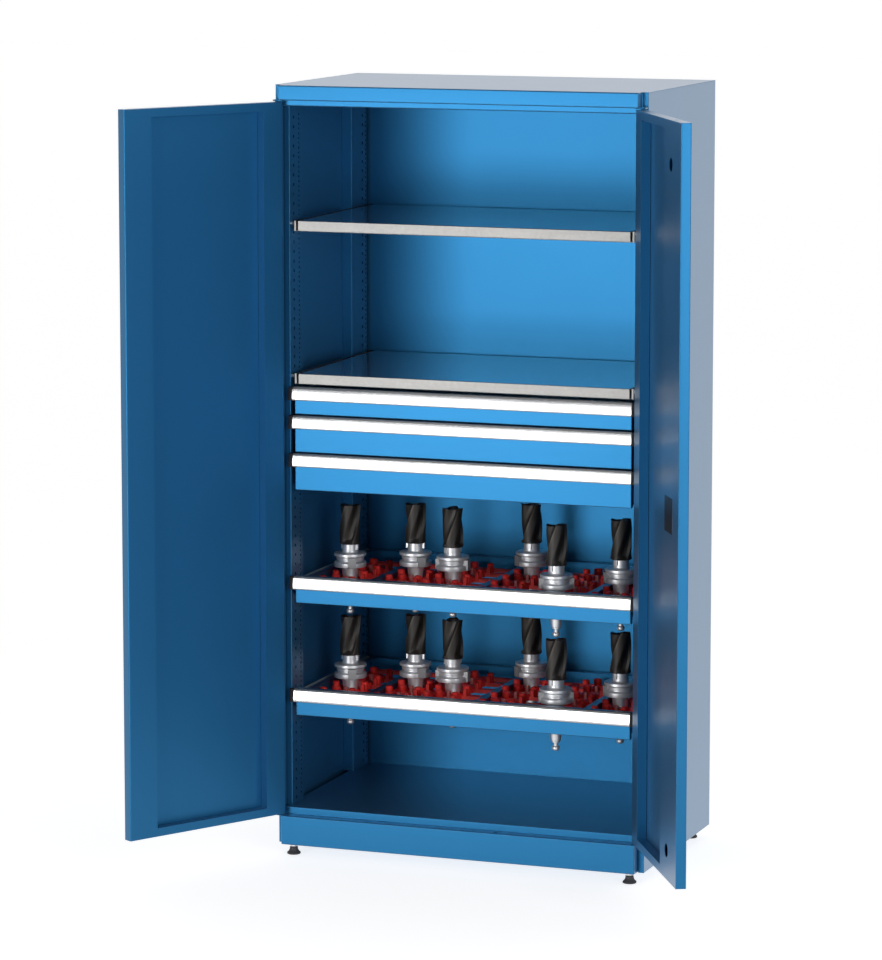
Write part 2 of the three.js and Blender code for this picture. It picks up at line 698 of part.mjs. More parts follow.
// Radius of the tool taper at a drop below the flange's underside
function taperRadius(drop) {
  return share(TAPER_RADIUS, TAPER_END_RADIUS, drop / TAPER_LENGTH);
}

// Six red inserts in one piece, seated over the frame's bars, with a tapered socket for each tool
function inserts() {
  const top = -PANEL_TOP_DROP;
  const low = top - PANEL_THICKNESS;
  const near = FRAME_START + PANEL_END_GAP;
  const far = FRAME_END - PANEL_END_GAP;
  const half = FRAME_HALF - PANEL_SIDE_GAP;
  const barSide = BAR_WIDTH / 2 + PANEL_SIDE_GAP;
  const panels = [
    [-half, barX[0] - barSide],
    [barX[0] + barSide, barX[1] - barSide],
    [barX[1] + barSide, barX[2] - barSide],
    [barX[2] + barSide, half],
  ].map((across) => block(across, [near, far], [low, top]));
  const pad = TAPER_RADIUS + SOCKET_PAD;
  const windowWidth = WINDOW_WIDTH_SHARE * FRAME_HALF;
  const windows = toolPlaces.flatMap(([x, y]) => {
    const across = [x - windowWidth / 2, x + windowWidth / 2];
    const stretches = [[near + BEAM_WIDTH, y - pad], [y + pad, far - BEAM_WIDTH]];
    return stretches
      .filter(([from, to]) => to > from)
      .map((along) => block(across, along, [low - OVERRUN, top + OVERRUN]));
  });
  const beams = [[near, near + BEAM_WIDTH], [far - BEAM_WIDTH, far]].map((along) => (
    block(both(half), along, [low, -BAR_TOP_DROP + SEAT_GAP + BEAM_CAP])
  ));
  const notches = barX.map((x) => block(
    [x - BAR_WIDTH / 2 - SEAT_GAP, x + BAR_WIDTH / 2 + SEAT_GAP],
    [FRONT, REAR],
    [low - OVERRUN, -BAR_TOP_DROP + SEAT_GAP],
  ));
  const bosses = toolPlaces.map((place) => (
    roundZ(TAPER_RADIUS + SOCKET_WALL, place, top - SOCKET_DEPTH, top, TOOL_SIDES)
  ));
  const lugOffset = LUG_OFFSET_SHARE * FRAME_HALF;
  const lugs = toolPlaces.flatMap(([x, y]) => [-1, 1].map((side) => block(
    [x + side * lugOffset - LUG_WIDTH / 2, x + side * lugOffset + LUG_WIDTH / 2],
    [y - LUG_LENGTH / 2, y + LUG_LENGTH / 2],
    [low, top + LUG_HEIGHT],
  )));
  const body = joined([cut(joined(panels), windows), ...beams, ...bosses, ...lugs]);
  const flangeBottom = FLANGE_RISE - FLANGE_HEIGHT;
  const flatGap = SEAT_GAP / Math.cos(Math.PI / TOOL_SIDES);
  const sockets = toolPlaces.map(([x, y], i) => {
    const upper = top + LUG_HEIGHT + OVERRUN;
    const lower = top - SOCKET_DEPTH - OVERRUN;
    const cone = new THREE.CylinderGeometry(
      taperRadius(flangeBottom - upper) + flatGap,
      taperRadius(flangeBottom - lower) + flatGap,
      upper - lower,
      TOOL_SIDES,
    );
    cone.rotateX(Math.PI / 2);
    cone.rotateZ(TOOL_TURN_SHARES[i] * 2 * Math.PI);
    cone.translate(x, y, (upper + lower) / 2);
    return solid(cone);
  });
  return cut(body, [...notches, ...sockets]);
}

// Tapered tool holder with its milling cutter, heights from the top of the flange
function tool() {
  const flangeBottom = -FLANGE_HEIGHT;
  const taperEnd = flangeBottom - TAPER_LENGTH;
  const grooveLow = GROOVE_EDGE + GROOVE_HEIGHT;
  const profile = [
    [0, taperEnd - NECK_LENGTH - STUD_HEAD_LENGTH],
    [STUD_HEAD_RADIUS, taperEnd - NECK_LENGTH - STUD_HEAD_LENGTH],
    [STUD_HEAD_RADIUS, taperEnd - NECK_LENGTH],
    [NECK_RADIUS, taperEnd - NECK_LENGTH],
    [NECK_RADIUS, taperEnd],
    [TAPER_END_RADIUS, taperEnd],
    [TAPER_RADIUS, flangeBottom],
    [FLANGE_RADIUS, flangeBottom],
    [FLANGE_RADIUS, -grooveLow],
    [GROOVE_RADIUS, -GROOVE_EDGE - GROOVE_HEIGHT / 2],
    [FLANGE_RADIUS, -GROOVE_EDGE],
    [FLANGE_RADIUS, 0],
    [COLLAR_RADIUS, 0],
    [COLLAR_RADIUS, COLLAR_HEIGHT],
    [CUTTER_RADIUS, COLLAR_HEIGHT],
    [CUTTER_RADIUS, COLLAR_HEIGHT + CUTTER_HEIGHT],
    [0, COLLAR_HEIGHT + CUTTER_HEIGHT],
  ];
  const reach = FLANGE_RADIUS + KEY_OVERHANG;
  const keyAcross = [-KEY_WIDTH / 2, KEY_WIDTH / 2];
  const keyUp = [-FLANGE_HEIGHT, -KEY_OVERHANG];
  return joined([
    turned(profile, TOOL_SIDES),
    block([reach - KEY_DEPTH, reach], keyAcross, keyUp),
    block([KEY_DEPTH - reach, -reach], keyAcross, keyUp),
  ]);
}

// A door is drawn closed, about its hinge pin. Its x runs from the hinge edge, its y from the outer face.
const doorX = (side, x) => side * (PIN_FROM_EDGE - x);
const doorY = (y) => y - PIN_FROM_FACE;

function doorBlock(side, [xa, xb], [ya, yb], heights) {
  return block([doorX(side, xa), doorX(side, xb)], [doorY(ya), doorY(yb)], heights);
}

// Quarter round at a door corner, from one flat side to the next
function roundedCorner([x, y], towardX, towardY, startAngle) {
  const middle = [x + towardX * DOOR_CORNER, y + towardY * DOOR_CORNER];
  return Array.from({ length: CORNER_STEPS + 1 }, (_, i) => {
    const angle = startAngle + (i / CORNER_STEPS) * (Math.PI / 2);
    return [middle[0] + DOOR_CORNER * Math.cos(angle), middle[1] + DOOR_CORNER * Math.sin(angle)];
  });
}

// Folded door with hollow stiles, end plates, inner flanges and hinge pins
function door(side, freeStile) {
  const inner = DOOR_THICKNESS;
  const skin = SHEET;
  const flange = DOOR_THICKNESS - SHEET;
  const step = SHEET + STEP_GAP;
  const free = DOOR_WIDTH - freeStile;
  const place = ([x, y]) => [doorX(side, x), doorY(y)];
  const outerFace = [
    ...roundedCorner([0, 0], 1, 1, Math.PI),
    ...roundedCorner([DOOR_WIDTH, 0], -1, 1, 1.5 * Math.PI),
  ];
  const freeCorner = roundedCorner([DOOR_WIDTH, inner], -1, -1, 0);
  const hingeCorner = roundedCorner([0, inner], 1, -1, Math.PI / 2);
  const section = [
    ...outerFace,
    ...freeCorner,
    [free, inner],
    [free, step],
    [free + SHEET, step],
    [free + SHEET, flange],
    [DOOR_WIDTH - SHEET, flange],
    [DOOR_WIDTH - SHEET, skin],
    [SHEET, skin],
    [SHEET, flange],
    [HINGE_STILE - SHEET, flange],
    [HINGE_STILE - SHEET, step],
    [HINGE_STILE, step],
    [HINGE_STILE, inner],
    ...hingeCorner,
  ].map(place);
  const plate = [...outerFace, ...freeCorner, ...hingeCorner].map(place);
  const between = [HINGE_STILE - SHEET, free + SHEET];
  const pinPlace = [0, 0];
  return joined([
    prismZ(section, DOOR_BOTTOM, DOOR_TOP),
    prismZ(plate, DOOR_BOTTOM, DOOR_BOTTOM + SHEET),
    prismZ(plate, DOOR_TOP - SHEET, DOOR_TOP),
    doorBlock(side, between, [flange, inner], [DOOR_BOTTOM, DOOR_BOTTOM + DOOR_RAIL]),
    doorBlock(side, between, [flange, inner], [DOOR_TOP - DOOR_RAIL, DOOR_TOP]),
    doorBlock(side, between, [step, inner], [DOOR_BOTTOM + DOOR_RAIL - SHEET, DOOR_BOTTOM + DOOR_RAIL]),
    doorBlock(side, between, [step, inner], [DOOR_TOP - DOOR_RAIL, DOOR_TOP - DOOR_RAIL + SHEET]),
    roundZ(PIN_RADIUS, pinPlace, DOOR_BOTTOM - PIN_LENGTH, DOOR_BOTTOM + SHEET),
    roundZ(PIN_RADIUS, pinPlace, DOOR_TOP - SHEET, DOOR_TOP + PIN_LENGTH),
  ]);
}

const lockX = doorX(1, LOCK_X);
const rodPlace = [lockX, doorY(ROD_DEPTH)];

// Right door with the cut-outs for its lock
function lockedDoor() {
  const bore = ROD_RADIUS + ROD_CLEARANCE;
  const throughFlange = [doorY(DOOR_THICKNESS - SHEET - OVERRUN), doorY(DOOR_THICKNESS + OVERRUN)];
  const plateHalf = [LOCK_PLATE_WIDTH / 2 + SEAT_GAP, LOCK_PLATE_HEIGHT / 2 + SEAT_GAP];
  return cut(door(1, RIGHT_FREE_STILE), [
    roundZ(bore, rodPlace, DOOR_TOP - SHEET - OVERRUN, DOOR_TOP + OVERRUN),
    roundZ(bore, rodPlace, DOOR_BOTTOM - OVERRUN, DOOR_BOTTOM + SHEET + OVERRUN),
    roundY(ACCESS_RADIUS, [lockX, DOOR_TOP - UPPER_ACCESS_DROP], ...throughFlange),
    roundY(ACCESS_RADIUS, [lockX, DOOR_BOTTOM + LOWER_ACCESS_RISE], ...throughFlange),
    block(
      [lockX - plateHalf[0], lockX + plateHalf[0]],
      throughFlange,
      [LOCK_HEIGHT - plateHalf[1], LOCK_HEIGHT + plateHalf[1]],
    ),
    roundY(
      SPINDLE_RADIUS + SPINDLE_CLEARANCE,
      [lockX, LOCK_HEIGHT],
      doorY(-OVERRUN),
      doorY(SHEET + OVERRUN),
    ),
  ]);
}

// Lock case with its face plate, a bore for the spindle and one for each rod
function lockCase() {
  const plateBack = DOOR_THICKNESS + LOCK_PLATE_PROUD - LOCK_PLATE_THICKNESS;
  const halfHeight = LOCK_CASE_HEIGHT / 2;
  const bore = ROD_RADIUS + ROD_CLEARANCE;
  const body = joined([
    block(
      [lockX - LOCK_PLATE_WIDTH / 2, lockX + LOCK_PLATE_WIDTH / 2],
      [doorY(plateBack), doorY(plateBack + LOCK_PLATE_THICKNESS)],
      [LOCK_HEIGHT - LOCK_PLATE_HEIGHT / 2, LOCK_HEIGHT + LOCK_PLATE_HEIGHT / 2],
    ),
    block(
      [lockX - LOCK_CASE_WIDTH / 2, lockX + LOCK_CASE_WIDTH / 2],
      [doorY(plateBack - LOCK_CASE_DEPTH), doorY(plateBack + LOCK_PLATE_THICKNESS)],
      [LOCK_HEIGHT - halfHeight, LOCK_HEIGHT + halfHeight],
    ),
  ]);
  return cut(body, [
    roundY(
      SPINDLE_RADIUS + SPINDLE_CLEARANCE,
      [lockX, LOCK_HEIGHT],
      doorY(plateBack - LOCK_CASE_DEPTH - OVERRUN),
      doorY(SPINDLE_END + SEAT_GAP),
    ),
    roundZ(bore, rodPlace, LOCK_HEIGHT + halfHeight - ROD_BORE_DEPTH, LOCK_HEIGHT + halfHeight + OVERRUN),
    roundZ(bore, rodPlace, LOCK_HEIGHT - halfHeight - OVERRUN, LOCK_HEIGHT - halfHeight + ROD_BORE_DEPTH),
  ]);
}

function upperRod() {
  const low = LOCK_HEIGHT + LOCK_CASE_HEIGHT / 2 - ROD_IN_CASE;
  return roundZ(ROD_RADIUS, rodPlace, low, DOOR_TOP - ROD_END_RECESS);
}

function lowerRod() {
  const high = LOCK_HEIGHT - LOCK_CASE_HEIGHT / 2 + ROD_IN_CASE;
  return roundZ(ROD_RADIUS, rodPlace, DOOR_BOTTOM + ROD_END_RECESS, high);
}

// Disc around the spindle on the outer face
function rose() {
  const near = doorY(-SEAT_GAP - ROSE_THICKNESS);
  const far = doorY(-SEAT_GAP);
  const middle = [lockX, LOCK_HEIGHT];
  const hole = roundY(SPINDLE_RADIUS + SPINDLE_CLEARANCE, middle, near - OVERRUN, far + OVERRUN);
  return cut(roundY(ROSE_RADIUS, middle, near, far), [hole]);
}

// Lever handle with its spindle, at rest across the door towards the hinge
function lever() {
  const hubFar = doorY(-SEAT_GAP - ROSE_THICKNESS - SEAT_GAP);
  const hubNear = hubFar - HUB_THICKNESS;
  return joined([
    roundY(SPINDLE_RADIUS, [lockX, LOCK_HEIGHT], hubNear, doorY(SPINDLE_END)),
    roundY(HUB_RADIUS, [lockX, LOCK_HEIGHT], hubNear, hubFar),
    block(
      [lockX, lockX + LEVER_LENGTH],
      [hubNear, hubNear + LEVER_THICKNESS],
      [LOCK_HEIGHT - LEVER_WIDTH / 2, LOCK_HEIGHT + LEVER_WIDTH / 2],
    ),
  ]);
}

// Hinge group of a door, turned open
function doorGroup(side, pieces) {
  const hinge = new THREE.Group();
  hinge.position.set(side * PIN_X, PIN_Y, 0);
  hinge.rotation.z = side * DOOR_OPEN_TURN_SHARE * 2 * Math.PI;
  hinge.add(...pieces);
  return hinge;
}

function atLevel(level, pieces) {
  const group = new THREE.Group();
  group.position.z = levelZ(level);
  group.add(...pieces);
  return group;
}

function drawer(index, height) {
  const name = `drawer_${index + 1}`;
  return atLevel(DRAWER_LEVELS[index], [
    piece(`${name}_tray`, tray(height), bluePaint),
    piece(`${name}_front`, frontPan(height), frontPaint),
    piece(`${name}_handle`, handle(), handleGrey),
  ]);
}

function pullout(index) {
  const name = `pullout_${index + 1}`;
  const tools = toolPlaces.map(([x, y], i) => {
    const mesh = piece(`${name}_tool_${i + 1}`, tool(), toolSteel);
    mesh.position.set(x, y, FLANGE_RISE);
    mesh.rotation.z = TOOL_TURN_SHARES[i] * 2 * Math.PI;
    return mesh;
  });
  return atLevel(PULLOUT_LEVELS[index], [
    piece(`${name}_frame`, pulloutFrame(), frontPaint),
    piece(`${name}_handle`, handle(), handleGrey),
    piece(`${name}_inserts`, inserts(), redPlastic),
    ...tools,
  ]);
}

function rails(name, level) {
  const pair = [-1, 1].map((side) => piece(`${name}_rail_${sideName(side)}`, rail(side), zinc));
  return atLevel(level - 1, pair);
}

function carcass() {
  const pieces = [
    piece('back_panel', backPanel(), bluePaint),
    piece('top_cover', topCover(), fasciaPaint),
    piece('base_plinth', basePlinth(), fasciaPaint),
    piece('floor_panel', floorPanel(), bluePaint),
  ];
  for (const side of [-1, 1]) {
    const front = upright(side, FRONT_UPRIGHT_Y, FRONT_UPRIGHT_WIDTH, FRONT_HOLES_Y);
    const rear = upright(side, REAR_UPRIGHT_Y, REAR_UPRIGHT_WIDTH, REAR_HOLES_Y);
    pieces.push(piece(`${sideName(side)}_side_panel`, sidePanel(side), bluePaint));
    pieces.push(piece(`front_${sideName(side)}_upright`, front, bluePaint));
    pieces.push(piece(`rear_${sideName(side)}_upright`, rear, bluePaint));
  }
  return pieces;
}

function feet() {
  return Object.entries(footPlaces).map(([name, [x, y]]) => {
    const mesh = piece(name, foot(), footRubber);
    mesh.position.set(x, y, 0);
    return mesh;
  });
}

// Height of each drawer front, down to the next level less the joint
function drawerHeights() {
  const next = [...DRAWER_LEVELS.slice(1)];
  const heights = next.map((level, i) => (DRAWER_LEVELS[i] - level) * HOLE_PITCH - FRONT_JOINT_GAP);
  return [...heights, heights[heights.length - 1]];
}

const group = new THREE.Group();
group.add(...carcass(), ...feet());
['upper_shelf', 'lower_shelf'].forEach((name, i) => {
  group.add(atLevel(SHELF_LEVELS[i], [piece(name, shelf(), zinc)]));
});
drawerHeights().forEach((height, i) => {
  group.add(rails(`drawer_${i + 1}`, DRAWER_LEVELS[i]), drawer(i, height));
});
PULLOUT_LEVELS.forEach((level, i) => {
  group.add(rails(`pullout_${i + 1}`, level), pullout(i));
});
group.add(doorGroup(-1, [piece('left_door', door(-1, LEFT_FREE_STILE), doorPaint)]));
group.add(doorGroup(1, [
  piece('right_door', lockedDoor(), doorPaint),
  piece('lock_case', lockCase(), lockSteel),
  piece('lock_rod_upper', upperRod(), rodSteel),
  piece('lock_rod_lower', lowerRod(), rodSteel),
  piece('handle_rose', rose(), lockSteel),
  piece('door_handle', lever(), lockSteel),
]));

export default group;
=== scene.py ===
"""Steel tool cabinet with two doors, shelves, drawers and pull-out frames of tool holders."""

import json
import math

import bmesh
import bpy
from mathutils import Matrix, Vector

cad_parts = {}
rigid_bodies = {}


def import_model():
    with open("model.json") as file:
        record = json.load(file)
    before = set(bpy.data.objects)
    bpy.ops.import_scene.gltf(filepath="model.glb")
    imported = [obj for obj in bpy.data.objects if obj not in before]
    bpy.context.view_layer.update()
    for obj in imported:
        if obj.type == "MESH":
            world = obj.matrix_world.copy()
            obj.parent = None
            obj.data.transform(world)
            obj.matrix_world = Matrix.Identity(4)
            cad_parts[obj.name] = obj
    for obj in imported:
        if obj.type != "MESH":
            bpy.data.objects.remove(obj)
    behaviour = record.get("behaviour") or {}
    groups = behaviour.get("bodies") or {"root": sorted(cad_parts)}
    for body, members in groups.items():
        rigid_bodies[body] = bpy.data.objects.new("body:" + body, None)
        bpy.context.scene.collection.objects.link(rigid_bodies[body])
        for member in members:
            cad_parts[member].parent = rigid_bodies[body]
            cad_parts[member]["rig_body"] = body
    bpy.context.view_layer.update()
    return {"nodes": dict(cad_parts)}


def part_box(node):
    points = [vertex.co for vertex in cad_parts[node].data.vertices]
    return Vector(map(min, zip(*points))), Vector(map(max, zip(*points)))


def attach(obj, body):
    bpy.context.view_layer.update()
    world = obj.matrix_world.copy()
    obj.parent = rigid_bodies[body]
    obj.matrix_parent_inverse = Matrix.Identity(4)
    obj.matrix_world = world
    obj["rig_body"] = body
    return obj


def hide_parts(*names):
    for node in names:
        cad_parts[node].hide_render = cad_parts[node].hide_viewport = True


bl_info = {
    "name": "Steel Tool Cabinet",
    "version": (1, 0, 0),
    "blender": (4, 5, 0),
    "location": "3D View > Sidebar > Cabinet",
    "description": "Paints and details a steel cabinet with drawers and tool holders",
    "category": "Add Mesh",
}

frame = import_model()
nodes = frame["nodes"]
MM = 0.001
UNMOVED = Matrix.Identity(4)


# Sizes and colours that a user may change

def length(name, description, default):
    return bpy.props.FloatProperty(
        name=name, description=description, default=default, min=0, subtype="DISTANCE", unit="LENGTH"
    )


def colour(name, description, default):
    return bpy.props.FloatVectorProperty(
        name=name, description=description, default=default, size=3, min=0, max=1, subtype="COLOR"
    )


class CabinetSizes(bpy.types.PropertyGroup):
    """Sizes of the finish, which the frame's solids leave open."""

    fold_radius: length("Fold radius", "Outer radius of a fold in sheet", 0.0022)
    corner_radius: length("Corner radius", "Radius of the fascia and plinth corners", 0.0034)
    cut_edge: length("Cut edge", "Rounding of a cut sheet edge", 0.00025)
    sheet: length("Sheet", "Thickness of the sheet", 0.0015)
    small_hole: length("Small hole", "Diameter of the small holes in the uprights", 0.0066)
    small_pitch: length("Small hole pitch", "Distance between the small holes", 0.0125)
    groove: length("Handle groove", "Width of the fine grooves in a handle", 0.0014)
    flute_depth: length("Flute depth", "Depth of a cutter's flutes", 0.0100)
    flutes: bpy.props.IntProperty(name="Flutes", description="Flutes of a cutter", default=3, min=2, max=8)
    helix: bpy.props.FloatProperty(
        name="Helix", description="Helix angle of the flutes", default=math.radians(21), subtype="ANGLE"
    )
    socket_pitch: length("Socket pitch", "Distance between the sockets of an insert", 0.0930)


class CabinetColours(bpy.types.PropertyGroup):
    """Colours of the finishes."""

    body: colour("Body paint", "Paint of the cabinet", (0.0230, 0.152, 0.322))
    front: colour("Front paint", "Paint of the drawer fronts", (0.0240, 0.160, 0.338))
    zinc: colour("Zinc", "Galvanised shelves and rails", (0.400, 0.392, 0.374))
    handle: colour("Handle", "Handle profiles", (0.500, 0.505, 0.512))
    cap: colour("Caps", "End caps of the handles", (0.012, 0.012, 0.015))
    insert: colour("Inserts", "Plastic seats of the tools", (0.860, 0.036, 0.030))
    # Darker copy of the blue paint for the frame's bars: painted shade between the inserts.
    shaded_bars: colour("Bars", "Bars and rims of the pull-out frames", (0.010, 0.050, 0.130))
    steel: colour("Steel", "Ground steel", (0.560, 0.565, 0.580))
    cutter: colour("Cutter", "Dark finish of the cutters", (0.019, 0.016, 0.013))
    lock: colour("Lock", "Lock case and handle", (0.045, 0.045, 0.048))
    rubber: colour("Rubber", "Feet", (0.040, 0.040, 0.043))
    floor: colour("Floor", "Floor under the cabinet", (0.600, 0.601, 0.603))


# Shader maths

def plug(tree, value, socket):
    if isinstance(value, Flow):
        tree.links.new(value.socket, socket)
    else:
        socket.default_value = value


class Flow:
    """A socket whose value can be used in plain expressions."""

    def __init__(self, tree, socket):
        self.tree = tree
        self.socket = socket

    def _math(self, operation, first, second):
        made = self.tree.nodes.new("ShaderNodeMath")
        made.operation = operation
        plug(self.tree, first, made.inputs[0])
        plug(self.tree, second, made.inputs[1])
        return Flow(self.tree, made.outputs[0])

    def __add__(self, other):
        return self._math("ADD", self, other)

    def __radd__(self, other):
        return self._math("ADD", other, self)

    def __sub__(self, other):
        return self._math("SUBTRACT", self, other)

    def __rsub__(self, other):
        return self._math("SUBTRACT", other, self)

    def __mul__(self, other):
        return self._math("MULTIPLY", self, other)

    def __rmul__(self, other):
        return self._math("MULTIPLY", other, self)


class Board:
    """A tree that nodes are laid on."""

    def __init__(self, tree):
        self.tree = tree

    def node(self, kind, settings=(), inputs=(), output=0):
        made = self.tree.nodes.new(kind)
        for key, value in dict(settings).items():
            if key == "stops":
                while len(made.color_ramp.elements) < len(value):
                    made.color_ramp.elements.new(0.5)
                for element, (place, shade) in zip(made.color_ramp.elements, value):
                    element.position = place
                    element.color = shade
            else:
                setattr(made, key, value)
        for key, value in dict(inputs).items():
            plug(self.tree, value, made.inputs[key])
        return Flow(self.tree, made.outputs[output])


class Finish(Board):
    """A material, its shader and the nodes that feed it."""

    def __init__(self, name, **uniform):
        self.material = bpy.data.materials.new(name)
        self.material.use_nodes = True
        super().__init__(self.material.node_tree)
        self.shader = self.tree.nodes["Principled BSDF"]
        for socket, value in uniform.items():
            self.shader.inputs[socket.replace("_", " ")].default_value = value

    def place(self, stretch=(1, 1, 1)):
        """Place on the object in metres, stretched along its axes."""
        spot = self.node("ShaderNodeTexCoord", output="Object")
        return self.node("ShaderNodeMapping", inputs={"Vector": spot, "Scale": stretch})

    def noise(self, scale, detail, stretch=(1, 1, 1)):
        return self.node(
            "ShaderNodeTexNoise", inputs={"Vector": self.place(stretch), "Scale": scale, "Detail": detail}
        )

    def marked_edges(self):
        """One on the rounded edges that the mesh tools mark, and nothing elsewhere."""
        return self.node("ShaderNodeAttribute", {"attribute_name": "edge"}, output="Fac")

    def ramp(self, value, *stops):
        return self.node("ShaderNodeValToRGB", {"stops": stops}, {"Fac": value})

    def spread(self, value, low, high):
        """Noise values, which mostly lie between 0.3 and 0.7, spread from low to high."""
        return self.node(
            "ShaderNodeMapRange",
            inputs={"Value": value, "From Min": 0.3, "From Max": 0.7, "To Min": low, "To Max": high},
        )

    def blend(self, share, first, second):
        """Mix of two colours; the node's colour sockets are its seventh and eighth."""
        return self.node("ShaderNodeMix", {"data_type": "RGBA"}, {0: share, 6: first, 7: second}, output=2)

    def bump(self, height, depth, strength, under=None):
        inputs = {"Height": height, "Distance": depth, "Strength": strength}
        if under is not None:
            inputs["Normal"] = under
        return self.node("ShaderNodeBump", inputs=inputs)

    def feed(self, **flows):
        for socket, flow in flows.items():
            plug(self.tree, flow, self.shader.inputs[socket.replace("_", " ")])
        return self.material


def shaded(tone, factor, lift=0):
    return (*[min(1, max(0, part * factor + lift)) for part in tone], 1)


# Finishes

def powder_paint(name, tone):
    """Powder paint with orange peel and thin edges, glossy where it is seen at a low angle. The rounded edges
    are lightened partly as thin paint and partly as a painted highlight.
    """
    made = Finish(name, IOR=1.10, Coat_Roughness=0.36, Coat_IOR=2.0)
    clouds = made.noise(scale=5, detail=4)
    grain = made.noise(scale=420, detail=3)
    patches = made.spread(made.noise(scale=90, detail=3), 0, 1)
    wear_and_sheen = made.marked_edges()
    base = made.ramp(clouds, (0.32, shaded(tone, 0.985)), (0.68, shaded(tone, 1.015)))
    speckled = made.blend(made.spread(grain, 0, 0.12), base, shaded(tone, 1.35))
    low_angle = made.node("ShaderNodeLayerWeight", inputs={"Blend": 0.5}, output="Facing")
    gloss = low_angle * low_angle * low_angle * 3.4
    peel = made.bump(made.noise(scale=330, detail=2), depth=0.12 * MM, strength=0.10)
    return made.feed(
        # Lighter colour on the rounded edges: partly thin worn paint, partly a painted highlight along the
        # folds.
        Base_Color=made.blend(wear_and_sheen * patches * 0.25, speckled, shaded(tone, 0.75, lift=0.10)),
        Metallic=made.spread(grain, 0.64, 0.68),
        Roughness=made.spread(grain, 0.40, 0.43) + wear_and_sheen * 0.06,
        Coat_Weight=made.node("ShaderNodeMath", {"operation": "MINIMUM"}, {0: gloss, 1: 1.0}),
        Normal=made.bump(grain, depth=0.03 * MM, strength=0.12, under=peel),
    )


def spangled_zinc(name, tone, rough, metal):
    """Galvanised sheet: crystals of slightly different greys."""
    made = Finish(name, IOR=1.6)
    cells = made.node(
        "ShaderNodeTexVoronoi", inputs={"Vector": made.place(), "Scale": 95, "Randomness": 1}, output="Color"
    )
    grey = made.node("ShaderNodeRGBToBW", inputs={"Color": cells})
    streaks = made.noise(scale=26, detail=3, stretch=(1, 1, 6))
    share = made.spread(grey, 0, 1) * 0.45 + made.spread(streaks, 0, 1) * 0.25
    return made.feed(
        Base_Color=made.blend(share, shaded(tone, 0.90), shaded(tone, 1.12)),
        Metallic=made.spread(streaks, metal - 0.05, metal),
        Roughness=made.spread(grey, rough, rough + 0.07),
        Normal=made.bump(grey, depth=0.04 * MM, strength=0.20),
    )


def brushed(name, tone, metal, rough, stretch, scale=420, relief=0.12):
    """Drawn or ground metal with fine lines along one direction."""
    made = Finish(name, IOR=1.5)
    lines = made.noise(scale=scale, detail=3, stretch=stretch)
    clouds = made.noise(scale=11, detail=3)
    share = made.spread(lines, 0, 0.6) + made.spread(clouds, 0, 0.4)
    return made.feed(
        Base_Color=made.blend(share, shaded(tone, 0.93), shaded(tone, 1.05)),
        Metallic=made.spread(clouds, metal - 0.03, metal),
        Roughness=made.spread(lines, rough, rough + 0.08),
        Normal=made.bump(lines, depth=0.03 * MM, strength=relief),
    )


def moulded(name, tone, rough, grain=0.2, gloss=1.47):
    """Moulded plastic or rubber with a fine grain and slight flow marks."""
    made = Finish(name, IOR=gloss)
    fine = made.noise(scale=520, detail=3)
    flow = made.noise(scale=34, detail=3, stretch=(1, 1, 0.5))
    base = made.blend(made.spread(flow, 0, 1), shaded(tone, 0.84), shaded(tone, 1.14))
    return made.feed(
        Base_Color=made.blend(made.marked_edges() * 0.22, base, shaded(tone, 1.3, lift=0.065)),
        Roughness=made.spread(fine, rough - 0.05, rough + 0.07),
        Normal=made.bump(fine, depth=0.08 * MM, strength=grain),
    )


def dark_cutter(name, tone):
    """Dark coated cutter steel, browned and worn on the lands."""
    made = Finish(name, IOR=1.55)
    grind = made.noise(scale=300, detail=3, stretch=(1, 1, 7))
    clouds = made.noise(scale=38, detail=4)
    base = made.blend(made.spread(clouds, 0, 1), shaded(tone, 0.75), shaded(tone, 1.45))
    bare_land = (0.060, 0.050, 0.038, 1)
    return made.feed(
        Base_Color=made.blend(made.marked_edges() * made.spread(grind, 0.45, 1), base, bare_land),
        Metallic=made.spread(clouds, 0.20, 0.35),
        Roughness=made.spread(grind, 0.44, 0.56),
        Normal=made.bump(grind, depth=0.05 * MM, strength=0.25),
    )


def pale_floor(name, tone):
    """Floor that glows a little, so that its shadows stay soft."""
    made = Finish(name, IOR=1.2, Emission_Color=(1, 1, 1, 1), Emission_Strength=0.76)
    clouds = made.noise(scale=2.2, detail=4)
    grain = made.noise(scale=240, detail=2)
    return made.feed(
        Base_Color=made.blend(made.spread(clouds, 0, 1), shaded(tone, 0.99), shaded(tone, 1.01)),
        Roughness=made.spread(grain, 0.72, 0.80),
        Normal=made.bump(grain, depth=0.1 * MM, strength=0.05),
    )


finishes = {}


